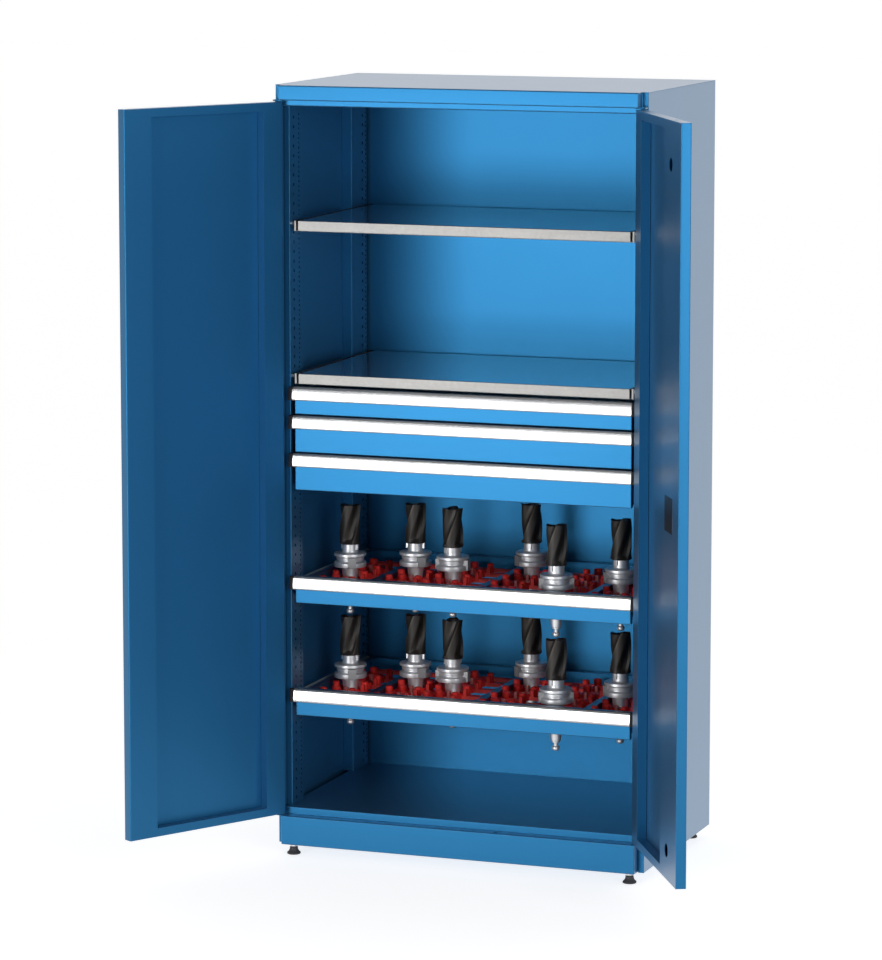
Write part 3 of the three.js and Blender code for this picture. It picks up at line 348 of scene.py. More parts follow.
def mix_finishes():
    """Makes every finish once. Drawn metal has its lines along the axis with the smallest stretch."""
    tones = bpy.context.scene.cabinet_colours
    dull_zinc = [1.25 * part for part in tones.zinc]
    bright_zinc = [2.1 * part for part in tones.zinc]
    faded_red = [0.55 * part + 0.12 for part in tones.insert]
    ground_steel = [1.24 * part for part in tones.steel]
    key_steel = [0.62 * part for part in tones.steel]
    finishes.update({
        "body": powder_paint("cabinet_paint", tones.body),
        "front": powder_paint("front_paint", tones.front),
        # The frame's bars take the blue paint darkened as painted shade.
        "shaded_bars": powder_paint("frame_painted_shade", tones.shaded_bars),
        "zinc": spangled_zinc("galvanised", dull_zinc, rough=0.45, metal=0.20),
        "bright_zinc": spangled_zinc("bright_galvanised", bright_zinc, rough=0.10, metal=0.98),
        "handle": brushed("handle_profile", tones.handle, 0.80, 0.17, (0.02, 1, 1)),
        "cap": moulded("cap_plastic", tones.cap, 0.48, gloss=1.22),
        "insert": moulded("insert_plastic", tones.insert, 0.40, gloss=1.35),
        "stud": moulded("stud_plastic", faded_red, 0.36),
        "steel": brushed("tool_steel", ground_steel, 0.70, 0.35, (0.15, 0.15, 3), scale=600, relief=0.03),
        "key": brushed("key_steel", key_steel, 0.40, 0.42, (1, 1, 0.1), scale=700),
        "cutter": dark_cutter("cutter_coating", tones.cutter),
        "lock": brushed("lock_metal", tones.lock, 0.75, 0.34, (1, 1, 0.06), scale=500),
        "rod": brushed("rod_steel", tones.steel, 0.95, 0.30, (1, 1, 0.03), scale=700),
        "rubber": moulded("foot_rubber", tones.rubber, 0.55, grain=0.3),
        "floor": pale_floor("pale_floor", tones.floor),
    })


class CABINET_OT_finishes(bpy.types.Operator):
    """Mix the paints, plastics and metals"""

    bl_idname = "cabinet.finishes"
    bl_label = "Finishes"

    def execute(self, context):
        mix_finishes()
        return {"FINISHED"}


# Mesh tools

WELD = 0.002 * MM
FLAT_ANGLE = math.radians(0.6)
SHARP_ANGLE = math.radians(50)
SMOOTH_ANGLE = math.radians(36)


def flattened(body):
    """Joins the triangles of each flat face."""
    bmesh.ops.dissolve_limit(
        body, angle_limit=FLAT_ANGLE, use_dissolve_boundaries=False, verts=body.verts, edges=body.edges
    )
    return body


def outward(body):
    bmesh.ops.recalc_face_normals(body, faces=body.faces)
    return body


def clean_solid(node):
    """The node's solid with its flat faces whole again."""
    body = bmesh.new()
    body.from_mesh(nodes[node].data)
    bmesh.ops.remove_doubles(body, verts=body.verts, dist=WELD)
    return outward(flattened(body))


def breadth(face):
    return face.calc_area() / max(1e-9, face.calc_perimeter() / 2)


def sharp(edge):
    return len(edge.link_faces) == 2 and edge.calc_face_angle(0) > SHARP_ANGLE


def long_sharp(body, least):
    return [edge for edge in body.edges if sharp(edge) and edge.calc_length() > least]


def edge_marks(body):
    """The layer that marks rounded edges, which the finishes wear thin; the powder paint also lightens them
    as a painted highlight.
    """
    return body.faces.layers.float.get("edge") or body.faces.layers.float.new("edge")


def bevelled(body, edges, radius, steps):
    """Rounds the edges and marks the new faces."""
    if not edges:
        return
    mark = edge_marks(body)
    done = bmesh.ops.bevel(
        body, geom=edges, offset=radius, offset_type="OFFSET", segments=steps, profile=0.5, affect="EDGES",
        clamp_overlap=False, loop_slide=True,
    )
    for face in done["faces"]:
        face[mark] = 1


def round_folds(body, radius, sheet):
    """Rounds the bends of folded sheet: full outside, tight inside."""
    widest_cut_edge = 2.6 * MM
    shortest_fold = 6 * MM
    tightest = 0.3 * MM
    folds = [
        edge for edge in long_sharp(body, shortest_fold)
        if all(breadth(face) > widest_cut_edge for face in edge.link_faces)
    ]
    outer = [edge for edge in folds if edge.is_convex]
    inner = [edge for edge in folds if not edge.is_convex]
    bevelled(body, inner, max(radius - sheet, tightest), 2)
    bevelled(body, [edge for edge in outer if edge.is_valid], radius, 3)


def break_edges(body, width):
    """Takes the sharpness off the long cut edges."""
    shortest = 20 * MM
    bevelled(body, long_sharp(body, shortest), width, 1)


def finished(name, body, finish, rides, replaced=()):
    """Turns a mesh into a piece of the cabinet that rides on its body."""
    mesh = bpy.data.meshes.new(name)
    body.to_mesh(mesh)
    body.free()
    made = bpy.data.objects.new(name, mesh)
    bpy.context.scene.collection.objects.link(made)
    for each in [finish] if isinstance(finish, str) else finish:
        mesh.materials.append(finishes[each])
    mesh.polygons.foreach_set("use_smooth", [True] * len(mesh.polygons))
    mesh.set_sharp_from_angle(angle=SMOOTH_ANGLE)
    even = made.modifiers.new("even_shading", "WEIGHTED_NORMAL")
    even.keep_sharp = True
    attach(made, rides)
    if replaced:
        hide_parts(*replaced)


def body_of(node):
    return nodes[node]["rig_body"]


def folded_sheet(node, radius=None):
    """The node's sheet with rounded bends and broken edges."""
    sizes = bpy.context.scene.cabinet_sizes
    body = clean_solid(node)
    round_folds(body, radius or sizes.fold_radius, sizes.sheet)
    break_edges(body, sizes.cut_edge)
    return body


def sheet_piece(node, finish, radius=None):
    finished(node + "_piece", folded_sheet(node, radius), finish, body_of(node), [node])


def quads(body, rows, mark=None):
    """Faces between closed rows of points that have the same count."""
    layer = edge_marks(body)
    for near, far in zip(rows, rows[1:]):
        for i in range(len(near)):
            j = (i + 1) % len(near)
            corners = []
            for vert in (near[i], near[j], far[j], far[i]):
                if vert not in corners:
                    corners.append(vert)
            if len(corners) > 2:
                face = body.faces.new(corners)
                if mark:
                    face[layer] = mark(i)


def circle(body, radius, height, steps):
    """Ring of points around the upright axis."""
    angles = [2 * math.pi * i / steps for i in range(steps)]
    return [body.verts.new((radius * math.cos(angle), radius * math.sin(angle), height)) for angle in angles]


def turned(profile, steps):
    """Round shape from radii and heights in millimetres, closed at both ends."""
    body = bmesh.new()
    rows = []
    for radius, height in profile:
        if radius > 0:
            rows.append(circle(body, radius * MM, height * MM, steps))
        else:
            rows.append([body.verts.new((0, 0, height * MM))] * steps)
    quads(body, rows)
    for row in (rows[0][::-1], rows[-1]):
        if row[0] is not row[1]:
            body.faces.new(row)
    return outward(body)


def drawn(outline, start, end):
    """Outline in depth and height, drawn out along the cabinet's width and closed at both ends."""
    body = bmesh.new()
    rows = [[body.verts.new((x, *point)) for point in outline] for x in (start, end)]
    quads(body, rows)
    body.faces.new(rows[0][::-1])
    body.faces.new(rows[1])
    return outward(body)


def add(body, part, material=0, move=UNMOVED):
    """Adds a closed part to the mesh, in place."""
    layer = edge_marks(body)
    wear_and_sheen = part.faces.layers.float.get("edge")
    copies = {vert: body.verts.new(move @ vert.co) for vert in part.verts}
    for face in part.faces:
        made = body.faces.new([copies[vert] for vert in face.verts])
        made.material_index = material
        if wear_and_sheen:
            made[layer] = face[wear_and_sheen]
    part.free()


def block(body, low, high, rounding, material=0, move=UNMOVED):
    """Adds a block between two corners in millimetres, with rounded edges."""
    part = bmesh.new()
    bmesh.ops.create_cube(part, size=1)
    bmesh.ops.scale(part, vec=[(b - a) * MM for a, b in zip(low, high)], verts=part.verts)
    bmesh.ops.translate(part, vec=[(a + b) / 2 * MM for a, b in zip(low, high)], verts=part.verts)
    bevelled(part, list(part.edges), rounding * MM, 2)
    add(body, part, material, move)


# Carcass

def hole_pins(places, radius, reach):
    """Round pins along the cabinet's width, one for each hole."""
    steps = 12
    angles = [2 * math.pi * i / steps for i in range(steps)]
    pins = bmesh.new()
    for x, y, z in places:
        rows = [
            [
                pins.verts.new((x + side * reach, y + radius * math.cos(angle), z + radius * math.sin(angle)))
                for angle in angles
            ]
            for side in (-1, 1)
        ]
        quads(pins, rows)
        pins.faces.new(rows[0][::-1])
        pins.faces.new(rows[1])
    return outward(pins)


def pierced(body, pins):
    """The sheet with its holes cut where the pins stand."""
    whole = len(body.faces)
    made = []
    for name, source in (("sheet", body), ("pins", pins)):
        mesh = bpy.data.meshes.new(name)
        source.to_mesh(mesh)
        source.free()
        made.append(bpy.data.objects.new(name, mesh))
        bpy.context.scene.collection.objects.link(made[-1])
    sheet, pinned = made
    cut = sheet.modifiers.new("holes", "BOOLEAN")
    cut.operation = "DIFFERENCE"
    cut.solver = "EXACT"
    cut.object = pinned
    done = bmesh.new()
    done.from_object(sheet, bpy.context.evaluated_depsgraph_get())
    for each in made:
        bpy.data.objects.remove(each)
    if len(done.faces) <= whole:
        raise RuntimeError("the small holes of an upright weren't cut")
    return flattened(done)


def upright_piece(node):
    """Upright with its row of small holes beside the square ones."""
    sizes = bpy.context.scene.cabinet_sizes
    low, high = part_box(node)
    row_inset = (19 if "front" in node else 8.5) * MM
    lowest, highest = low.z + 22 * MM, high.z - 18 * MM
    through = 4 * MM
    places = []
    height = lowest
    while height < highest:
        places.append((high.x if "left" in node else low.x, high.y - row_inset, height))
        height += sizes.small_pitch
    body = pierced(clean_solid(node), hole_pins(places, sizes.small_hole / 2, through))
    round_folds(body, sizes.fold_radius, sizes.sheet)
    break_edges(body, sizes.cut_edge)
    finished(node + "_piece", body, "body", body_of(node), [node])


def back_rivets():
    """Flat rivet heads around the edge of the back."""
    low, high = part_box("back_panel")
    left, right = low.x + 18 * MM, high.x - 18 * MM
    foot, head = low.z + 40 * MM, high.z - 28 * MM
    rows, columns = 10, 5
    heights = [foot + (head - foot) * k / rows for k in range(rows + 1)]
    places = [(x, high.y, z) for x in (left, right) for z in heights]
    places += [
        (left + (right - left) * k / columns, high.y, z) for k in range(1, columns) for z in (foot, head)
    ]
    profile = [
        (0, -0.6), (3.9, -0.6), (4.2, -0.1), (4.1, 0.4), (3.4, 0.9), (2.2, 1.25), (1.5, 1.3), (1.2, 0.7),
        (0, 0.6),
    ]
    facing_rear = Matrix.Rotation(-math.pi / 2, 4, "X")
    body = bmesh.new()
    for place in places:
        add(body, turned(profile, 24), 0, Matrix.Translation(place) @ facing_rear)
    finished("back_rivets", body, "zinc", body_of("back_panel"))


class CABINET_OT_carcass(bpy.types.Operator):
    """Dress the side walls, back, floor and uprights"""

    bl_idname = "cabinet.carcass"
    bl_label = "Carcass"

    def execute(self, context):
        for name in ("left_side_panel", "right_side_panel", "back_panel", "floor_panel"):
            sheet_piece(name, "body")
        for end in ("front", "rear"):
            for side in ("left", "right"):
                upright_piece(f"{end}_{side}_upright")
        back_rivets()
        return {"FINISHED"}


class CABINET_OT_top_and_plinth(bpy.types.Operator):
    """Dress the top cover with its fascia and the plinth"""

    bl_idname = "cabinet.top_and_plinth"
    bl_label = "Top and plinth"

    def execute(self, context):
        for name in ("top_cover", "base_plinth"):
            sheet_piece(name, "body", context.scene.cabinet_sizes.corner_radius)
        return {"FINISHED"}


# Feet

def foot_piece(node):
    """Rubber foot with a hexagon nut and a threaded stud."""
    low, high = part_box(node)
    pad, neck, head = 18, 10, high.z / MM
    base = low.z / MM
    shell = [
        (0, base), (pad - 1.8, base), (pad - 0.4, base + 0.8), (pad, base + 2), (pad, base + 4.2),
        (pad - 1, base + 5.4), (neck + 4, base + 8), (neck + 2, base + 11.5), (neck + 1, base + 15),
        (neck + 0.6, base + 19), (neck, base + 19.8), (0, base + 19.8),
    ]
    nut_foot, nut_top, nut, chamfer = -9.6, -1.2, 10.8, 1.2
    nut_profile = [
        (0, nut_foot), (nut - chamfer, nut_foot), (nut, nut_foot + 1), (nut, nut_top - 1),
        (nut - chamfer, nut_top), (0, nut_top),
    ]
    pitch, root, crest = 1.25, 4.3, 5.0
    height = -1.6
    thread = [(0, height)]
    while height < head - pitch:
        thread += [(root, height), (crest, height + pitch / 2)]
        height += pitch
    thread += [(root, height), (root - 0.7, head), (0, head)]
    move = Matrix.Translation(((low.x + high.x) / 2, (low.y + high.y) / 2, 0))
    body = bmesh.new()
    add(body, turned(shell, 40), 0, move)
    add(body, turned(nut_profile, 6), 1, move)
    add(body, turned(thread, 20), 1, move)
    finished(node + "_piece", body, ["rubber", "rod"], body_of(node), [node])


class CABINET_OT_feet(bpy.types.Operator):
    """Build the four levelling feet"""

    bl_idname = "cabinet.feet"
    bl_label = "Feet"

    def execute(self, context):
        for end in ("front", "rear"):
            for side in ("left", "right"):
                foot_piece(f"foot_{end}_{side}")
        return {"FINISHED"}


# Shelves and doors

def shelf_piece(node):
    """Shelf with a smooth bright top and a duller rolled front edge."""
    rolled_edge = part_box(node)[0].y + 2.4 * MM
    body = folded_sheet(node)
    for face in body.faces:
        if face.calc_center_median().y < rolled_edge and abs(face.normal.z) < 0.7:
            face.material_index = 1
    finished(node + "_piece", body, ["bright_zinc", "zinc"], body_of(node), [node])


class CABINET_OT_shelves(bpy.types.Operator):
    """Dress the shelves and the runner rails"""

    bl_idname = "cabinet.shelves"
    bl_label = "Shelves and rails"

    def execute(self, context):
        for name in ("upper_shelf", "lower_shelf"):
            shelf_piece(name)
        for group in ("drawer_1", "drawer_2", "drawer_3", "pullout_1", "pullout_2"):
            for side in ("left", "right"):
                sheet_piece(f"{group}_rail_{side}", "zinc")
        return {"FINISHED"}


def machined_piece(node, finish):
    """Solid metal piece with softened edges."""
    body = clean_solid(node)
    bevelled(body, long_sharp(body, 6 * MM), 0.8 * MM, 2)
    finished(node + "_piece", body, finish, body_of(node), [node])


class CABINET_OT_doors(bpy.types.Operator):
    """Dress the doors, lock, rods and lever"""

    bl_idname = "cabinet.doors"
    bl_label = "Doors"

    def execute(self, context):
        for name in ("left_door", "right_door"):
            sheet_piece(name, "body")
        for name in ("lock_case", "handle_rose", "door_handle"):
            machined_piece(name, "lock")
        for name in ("lock_rod_upper", "lock_rod_lower"):
            machined_piece(name, "rod")
        return {"FINISHED"}


# Drawers

def handle_profile(node):
    """Crowned handle profile with two fine grooves, and a separate cap at each end."""
    sizes = bpy.context.scene.cabinet_sizes
    low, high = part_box(node)
    near, far, top, bottom = low.y, high.y, high.z, low.z
    cap_width = 12 * MM
    slope = 4.7 * MM
    crown = 4.4 * MM
    wall = 2.0 * MM
    face_wall = wall + 0.4 * MM
    groove_depth = 0.5 * MM
    upper_groove, lower_groove = top - 5.4 * MM, bottom + 5.2 * MM
    face_steps = 8
    face_top = near + slope

    def on_face(height, depth=0):
        """Point on the sloping face, which bulges towards the middle of its height."""
        share = (top - height) / (top - bottom)
        return (face_top - slope * share - crown * share * (1 - share) + depth, height)

    rounded_top = [(4.6, 0), (2.7, 0.5), (1.1, 1.6), (0.1, 3.1)]
    rounded_foot = [(0.5, 1.7), (1.5, 0.5), (2.9, 0), (4.2, 0), (4.6, 4)]
    outline = [(far, top)]
    outline += [(face_top + back * MM, top - down * MM) for back, down in rounded_top]
    for k in range(face_steps + 1):
        height = upper_groove + (lower_groove - upper_groove) * k / face_steps
        if k in (0, face_steps):
            outline += [
                on_face(height + sizes.groove / 2), on_face(height + sizes.groove / 4, groove_depth),
                on_face(height - sizes.groove / 4, groove_depth), on_face(height - sizes.groove / 2),
            ]
        else:
            outline.append(on_face(height))
    outline.append(on_face(bottom + 3.4 * MM))
    outline += [(near + back * MM, bottom + up * MM) for back, up in rounded_foot]
    outline += [on_face(bottom + 10 * MM, face_wall), on_face(top - wall - 6 * MM, face_wall)]
    outline += [(face_top + wall + 3.4 * MM, top - wall), (far - wall, top - wall)]
    outline += [(far - wall, bottom), (far, bottom)]
    body = drawn(outline, low.x + cap_width, high.x - cap_width)
    finished(node + "_profile", body, "handle", body_of(node), [node])

    chamfer = 1.5 * MM
    cap = [(far, top), (face_top + chamfer, top), on_face(top - chamfer), on_face(bottom), (far, bottom)]
    for name, start, end in (
        ("left", low.x, low.x + cap_width), ("right", high.x - cap_width, high.x)
    ):
        part = drawn(cap, start, end)
        bevelled(part, long_sharp(part, 0), 0.7 * MM, 2)
        finished(f"{node}_{name}_cap", part, "cap", body_of(node))


class CABINET_OT_drawers(bpy.types.Operator):
    """Dress the drawers with their fronts and handles"""

    bl_idname = "cabinet.drawers"
    bl_label = "Drawers"

    def execute(self, context):
        for index in (1, 2, 3):
            sheet_piece(f"drawer_{index}_tray", "body")
            sheet_piece(f"drawer_{index}_front", "front")
            handle_profile(f"drawer_{index}_handle")
        return {"FINISHED"}


# Pull-out frames

BARS = [-300, 0, 300]


def frame_piece(node):
    """Pull-out frame whose bars between the inserts are painted a darker blue, as painted shade."""
    low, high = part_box(node)
    first, last = low.y + 16.6 * MM, high.y - 12 * MM
    side = high.x - 20 * MM
    body = folded_sheet(node)
    for face in body.faces:
        middle = face.calc_center_median()
        # Faces between the front and rear of the frame take the darker paint, which stands in as painted
        # shade.
        if first < middle.y < last and abs(middle.x) < side:
            face.material_index = 1
    finished(node + "_piece", body, ["front", "shaded_bars"], body_of(node), [node])


def socket(body, x, y, top, filled):
    """One seat in millimetres: ring with a lip, two rounded lugs, a stud and a button."""
    move = Matrix.Translation((x * MM, y * MM, top * MM))
    foot = -52
    bore = 22.6 if filled else 19.5
    outer = 30.0
    ring = [
        (bore + 0.4, foot - 1), (outer - 0.6, foot - 1), (outer, foot - 0.4), (outer, -41.6),
        (outer - 0.8, -40.4), (outer - 2.8, -39.8), (outer - 3.4, -37.2), (outer - 4.2, -36.4),
        (bore + 1.2, -36.4), (bore + 0.4, -37.2),
    ]
    part = bmesh.new()
    rows = [circle(part, radius * MM, height * MM, 36) for radius, height in ring]
    quads(part, [*rows, rows[0]])
    add(body, outward(part), 0, move)
    lug_reach, lug_shift = 38.5, 6
    lug = [(0, foot), (8.6, foot), (9.0, foot + 0.5), (9.0, -20.5), (8.2, -18.4), (6.4, -17.2), (0, -17.2)]
    for side in (-1, 1):
        spot = Matrix.Translation((side * lug_reach * MM, side * lug_shift * MM, 0))
        add(body, turned(lug, 20), 0, move @ spot)
        middle = side * lug_reach
        block(body, (middle - 4.6, -13, foot), (middle + 4.6, 13, -24), 1.2, 0, move)
    block(body, (-4.2, -36.5, foot), (4.2, -28.5, -27), 0.9, 1, move)
    button = [
        (0, foot), (10.2, foot), (11, foot + 0.8), (11, -24.4), (10.2, -23.2), (6, -22.8), (5.4, -24.4),
        (0, -24.4),
    ]
    add(body, turned(button, 24), 0, move @ Matrix.Translation((-21 * MM, 43 * MM, 0)))


def insert_piece(node, tools):
    """Red inserts: a lattice in each gap between the bars, with rows of sockets around the tools."""
    pitch = bpy.context.scene.cabinet_sizes.socket_pitch / MM
    low, high = [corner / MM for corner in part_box(node)]
    panel_low = high.z - 36
    panel_high = panel_low + 12
    seat_top = panel_high + 41
    bar_half = 13
    clearance, side_rail, end_rail = 0.6, 9, 13
    overlap = 8
    web_half, web_start = 12, 29
    body = bmesh.new()
    edges = [low.x, *[x + side * bar_half for x in BARS for side in (-1, 1)], high.x]
    for start, end in zip(edges[::2], edges[1::2]):
        lanes = sorted(tool for tool in tools if start < tool[0] < end)
        limits = [start, *[(a[0] + b[0]) / 2 for a, b in zip(lanes, lanes[1:])], end]
        for (x, y), near_x, far_x in zip(lanes, limits, limits[1:]):
            for edge_x, side in ((near_x, 1), (far_x, -1)):
                ends = sorted((edge_x + side * clearance, edge_x + side * side_rail))
                block(body, (ends[0], low.y, panel_low), (ends[1], high.y, panel_high), 1)
            for edge_y, side in ((low.y, 1), (high.y, -1)):
                ends = sorted((edge_y, edge_y + side * end_rail))
                block(
                    body, (near_x + overlap, ends[0], panel_low + 0.4),
                    (far_x - overlap, ends[1], panel_high - 0.4), 1,
                )
            first = y - pitch * int((y - low.y - 46) / pitch)
            count = int((high.y - 50 - first) / pitch) + 1
            for k in range(count):
                place = first + k * pitch
                socket(body, x, place, seat_top, abs(place - y) < 1)
                for side in (-1, 1):
                    reach = (near_x if side < 0 else far_x) - side * overlap
                    ends = sorted((x + side * web_start, reach))
                    if ends[1] - ends[0] > 4:
                        block(
                            body, (ends[0], place - web_half, panel_low + 0.8),
                            (ends[1], place + web_half, panel_high - 0.8), 0.9,
                        )
    finished(node + "_piece", body, ["insert", "stud"], body_of(node), [node])


class CABINET_OT_pullouts(bpy.types.Operator):
    """Dress the pull-out frames with their fronts, handles and sockets"""

    bl_idname = "cabinet.pullouts"
    bl_label = "Pull-out frames"

    def execute(self, context):
        for index in (1, 2):
            frame_piece(f"pullout_{index}_frame")
            handle_profile(f"pullout_{index}_handle")
            tools = []
            for number in range(1, 7):
                low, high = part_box(f"pullout_{index}_tool_{number}")
                tools.append(((low.x + high.x) / 2 / MM, (low.y + high.y) / 2 / MM))
            insert_piece(f"pullout_{index}_inserts", tools)
        return {"FINISHED"}


# Tool holders

def cutter_body(radius, low, high):
    """Fluted milling cutter, its flutes on a right-hand helix and its face hollowed."""
    sizes = bpy.context.scene.cabinet_sizes
    steps, land = 24, 10
    around = sizes.flutes * steps
    twist = math.tan(sizes.helix) / radius
    neck = 2 * MM
    run_in = 10 * MM
    row_count = 12
    relief, run_out = 0.16, 0.97

    def sunk(phase):
        """Share of the flute's depth that is cut away at a step behind the land."""
        if phase <= land:
            return relief * phase / land
        share = (phase - land) / (steps - land)
        if share >= run_out:
            return 0.1
        return relief + (1 - relief) * math.sin(math.pi * share / 1.24) ** 1.2

    def tooth_drop(phase):
        return -3.4 * MM * (1 if phase > land + 1 else 0.4 * phase / land)

    def ridge(i):
        return 1.0 if i % steps in (0, 1) else 0.0

    def row_at(height, first, last):
        share = min(1, max(0, (height - low - neck) / run_in))
        share = share * share * (3 - 2 * share)
        row = []
        for i in range(around):
            angle = 2 * math.pi * i / around + twist * (height - low)
            reach = radius - sizes.flute_depth * sunk(i % steps) * share - (1.2 * MM if first else 0)
            lift = tooth_drop(i % steps) if last else 0
            row.append(body.verts.new((reach * math.cos(angle), reach * math.sin(angle), height + lift)))
        return row

    def face_ring(share, drop):
        ring = []
        for i in range(around):
            angle = 2 * math.pi * i / around + twist * (high - low)
            height = high - drop - (1.4 * MM if share > 0.5 and i % steps > land else 0)
            reach = share * radius
            ring.append(body.verts.new((reach * math.cos(angle), reach * math.sin(angle), height)))
        return ring

    body = bmesh.new()
    start = low + neck + run_in
    heights = [low, low + neck, low + 7 * MM, start]
    heights += [start + (high - start) * k / row_count for k in range(1, row_count + 1)]
    rows = [row_at(height, k == 0, k == len(heights) - 1) for k, height in enumerate(heights)]
    quads(body, rows, mark=ridge)
    hollow = [face_ring(share, drop * MM) for share, drop in ((0.66, 1.6), (0.42, 2.4), (0.40, 9))]
    quads(body, [rows[-1], *hollow])
    body.faces.new(hollow[-1])
    body.faces.new(rows[0][::-1])
    return outward(body)


def holder_profile():
    """Half outline of the holder from the pull stud up, with its flange's top at height nothing."""
    flange, groove, taper, neck = 43, 33, 22.2, 21
    stud = [
        (0, -165), (6.2, -165), (9.2, -162.6), (10, -160), (10, -156.5), (9.4, -154.8), (6.4, -152.4),
        (6.2, -146.5), (7, -144.6), (10.6, -143.4), (11, -142.6), (11, -139.8), (12.4, -139),
    ]
    cone = [(13.5, -138), (taper, -39.2), (taper, -38)]
    lower_flange = [
        (flange - 3.5, -38), (flange - 0.6, -37), (flange, -35.8), (flange, -26.6), (flange - 0.8, -25.2),
    ]
    gripper_groove = [
        (groove + 3.4, -22.6), (groove + 0.4, -22.2), (groove, -21.4), (groove, -19.4),
        (groove + 0.6, -18.8), (groove + 3.2, -18.4), (groove + 3.8, -17.6), (groove + 3.8, -11.4),
        (groove + 3.2, -10.6), (groove + 1.6, -10.2), (groove + 1.6, -9.2),
    ]
    upper_flange = [
        (flange - 1, -8.2), (flange, -7.2), (flange, -2.2), (flange - 0.6, -0.8), (flange - 2, 0),
    ]
    collar = [
        (neck + 3.2, 0), (neck + 1.6, 1), (neck + 0.4, 2.6), (neck, 4.4), (neck, 20), (neck, 24.5), (0, 24.5),
    ]
    return stud + cone + lower_flange + gripper_groove + upper_flange + collar


def tool_holder(node, turn):
    """Tapered holder with grooved flange, drive keys, pull stud and cutter."""
    cutter_radius, cutter_foot, cutter_top = 28 * MM, 24 * MM, 129 * MM
    bore = [
        (0, 120.5), (8.2, 120.5), (8.6, 121), (8.6, 123.2), (7.6, 124), (4.6, 124), (4.2, 121.8), (0, 121.8),
    ]
    low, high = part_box(node)
    middle = (low + high) / 2
    flange_top = Matrix.Translation((middle.x, middle.y, high.z - cutter_top))
    move = flange_top @ Matrix.Rotation(turn, 4, "Z")
    body = bmesh.new()
    add(body, turned(holder_profile(), 56), 0, move)
    add(body, cutter_body(cutter_radius, cutter_foot, cutter_top), 1, move)
    add(body, turned(bore, 24), 0, move)
    for side in (0, math.pi):
        facing = move @ Matrix.Rotation(side, 4, "Z")
        block(body, (32, -10.4, -37.2), (45.8, 10.4, -9.6), 1.0, 2, facing)
        across = move @ Matrix.Rotation(side + 0.9, 4, "Z")
        block(body, (17, -4.0, 9), (25.4, 4.0, 30), 0.7, 0, across)
    finished(node + "_piece", body, ["steel", "cutter", "key"], body_of(node), [node])


class CABINET_OT_tool_holders(bpy.types.Operator):
    """Build the tapered tool holders with their cutters"""

    bl_idname = "cabinet.tool_holders"
    bl_label = "Tool holders"

    def execute(self, context):
        turn_shares = [-0.172, -0.131, 0, -0.375, -0.44, -0.44]
        for frame_index in (1, 2):
            for index, share in enumerate(turn_shares, 1):
                tool_holder(f"pullout_{frame_index}_tool_{index}", 2 * math.pi * share)
        return {"FINISHED"}


# Stage

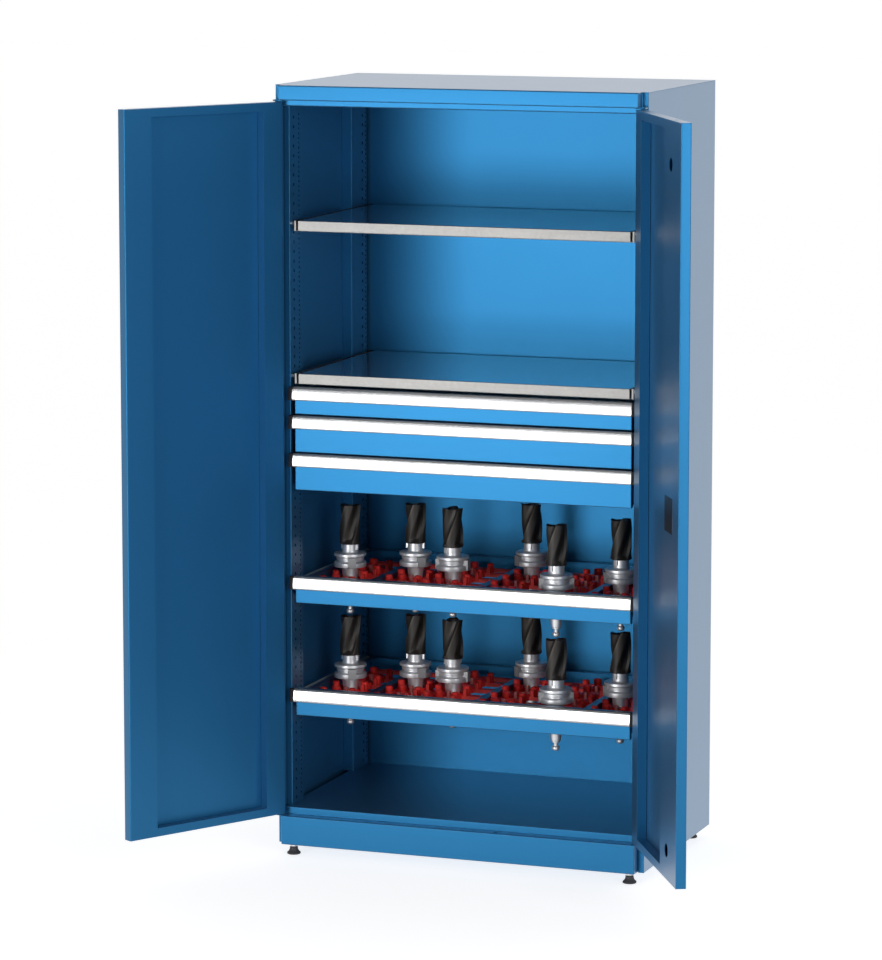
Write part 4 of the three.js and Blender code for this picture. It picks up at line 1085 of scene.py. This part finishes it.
class CABINET_OT_stage(bpy.types.Operator):
    """Lay the floor and set the light and the camera"""

    bl_idname = "cabinet.stage"
    bl_label = "Stage"

    def execute(self, context):
        context.scene.view_settings.view_transform = "Standard"
        self.floor(context.scene)
        self.studio(context.scene)
        self.lamp("key_light", place=(-2.1, -6.6, 0.88), target=(0.05, -0.2, 0.9), size=2.7, power=218)
        self.lamp("fill_light", place=(4.6, -4.4, 2.0), target=(0, -0.1, 1.0), size=3.0, power=130)
        self.camera(context.scene)
        return {"FINISHED"}

    def floor(self, scene):
        """Floor under the feet, which doesn't light the cabinet."""
        half = 40
        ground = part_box("foot_front_left")[0].z
        corners = [(-half, -half), (half, -half), (half, half), (-half, half)]
        body = bmesh.new()
        body.faces.new([body.verts.new((x, y, ground)) for x, y in corners])
        mesh = bpy.data.meshes.new("floor")
        body.to_mesh(mesh)
        body.free()
        mesh.materials.append(finishes["floor"])
        made = bpy.data.objects.new("floor", mesh)
        scene.collection.objects.link(made)
        made.visible_diffuse = False

    def studio(self, scene):
        """White room: darker in front of the cabinet than behind it, and softer for matt surfaces."""
        world = bpy.data.worlds.new("studio")
        world.use_nodes = True
        board = Board(world.node_tree)
        seen = board.node("ShaderNodeLightPath", output="Is Camera Ray")
        matt = board.node("ShaderNodeLightPath", output="Is Diffuse Ray")
        aim = board.node("ShaderNodeTexCoord", output="Generated")
        depth = board.node("ShaderNodeSeparateXYZ", inputs={"Vector": aim}, output="Y")
        rear = board.node(
            "ShaderNodeMapRange",
            inputs={"Value": depth, "From Min": -0.3, "From Max": 0.4, "To Min": 0, "To Max": 1},
        )
        mirrored = 0.30 + rear * 0.70
        unseen = mirrored - matt * (0.14 + rear * 0.36)
        sky = world.node_tree.nodes["Background"]
        sky.inputs["Color"].default_value = (1, 1, 1, 1)
        plug(world.node_tree, seen + (1 - seen) * unseen, sky.inputs["Strength"])
        scene.world = world

    def lamp(self, name, place, target, size, power):
        data = bpy.data.lights.new(name, "AREA")
        data.shape = "SQUARE"
        data.size = size
        data.energy = power
        made = bpy.data.objects.new(name, data)
        made.location = place
        made.rotation_euler = (Vector(target) - Vector(place)).to_track_quat("-Z", "Y").to_euler()
        made.visible_camera = False
        bpy.context.scene.collection.objects.link(made)

    def camera(self, scene):
        """Camera at the photo's angle; focal length and principal point are in pixels of its frame."""
        width, height = 882, 960
        focal, principal = 4282.8, (441, 400)
        place = (3.7196, -10.5264, 2.6335)
        yaw, pitch = -0.3524, -0.1307
        data = bpy.data.cameras.new("camera")
        data.sensor_width = 36
        data.lens = focal * data.sensor_width / height
        data.shift_x = (width / 2 - principal[0]) / height
        data.shift_y = (principal[1] - height / 2) / height
        ahead = Vector((
            math.sin(yaw) * math.cos(pitch), math.cos(yaw) * math.cos(pitch), math.sin(pitch)
        ))
        made = bpy.data.objects.new("camera", data)
        made.location = place
        made.rotation_euler = ahead.to_track_quat("-Z", "Y").to_euler()
        scene.collection.objects.link(made)
        scene.camera = made


OPERATORS = (
    CABINET_OT_finishes,
    CABINET_OT_carcass,
    CABINET_OT_top_and_plinth,
    CABINET_OT_feet,
    CABINET_OT_shelves,
    CABINET_OT_doors,
    CABINET_OT_drawers,
    CABINET_OT_pullouts,
    CABINET_OT_tool_holders,
    CABINET_OT_stage,
)


class CABINET_PT_sidebar(bpy.types.Panel):
    """Sizes, colours and steps of the cabinet"""

    bl_idname = "CABINET_PT_sidebar"
    bl_label = "Steel Tool Cabinet"
    bl_space_type = "VIEW_3D"
    bl_region_type = "UI"
    bl_category = "Cabinet"

    def draw(self, context):
        for group in (context.scene.cabinet_sizes, context.scene.cabinet_colours):
            box = self.layout.box()
            for name in group.__annotations__:
                box.prop(group, name)
        for step in OPERATORS:
            self.layout.operator(step.bl_idname)


CLASSES = (CabinetSizes, CabinetColours, *OPERATORS, CABINET_PT_sidebar)


def register():
    for each in CLASSES:
        bpy.utils.register_class(each)
    bpy.types.Scene.cabinet_sizes = bpy.props.PointerProperty(type=CabinetSizes)
    bpy.types.Scene.cabinet_colours = bpy.props.PointerProperty(type=CabinetColours)


def unregister():
    del bpy.types.Scene.cabinet_colours
    del bpy.types.Scene.cabinet_sizes
    for each in reversed(CLASSES):
        bpy.utils.unregister_class(each)


def main():
    register()
    for step in OPERATORS:
        group, name = step.bl_idname.split(".")
        getattr(getattr(bpy.ops, group), name)()


if __name__ == "__main__":
    main()
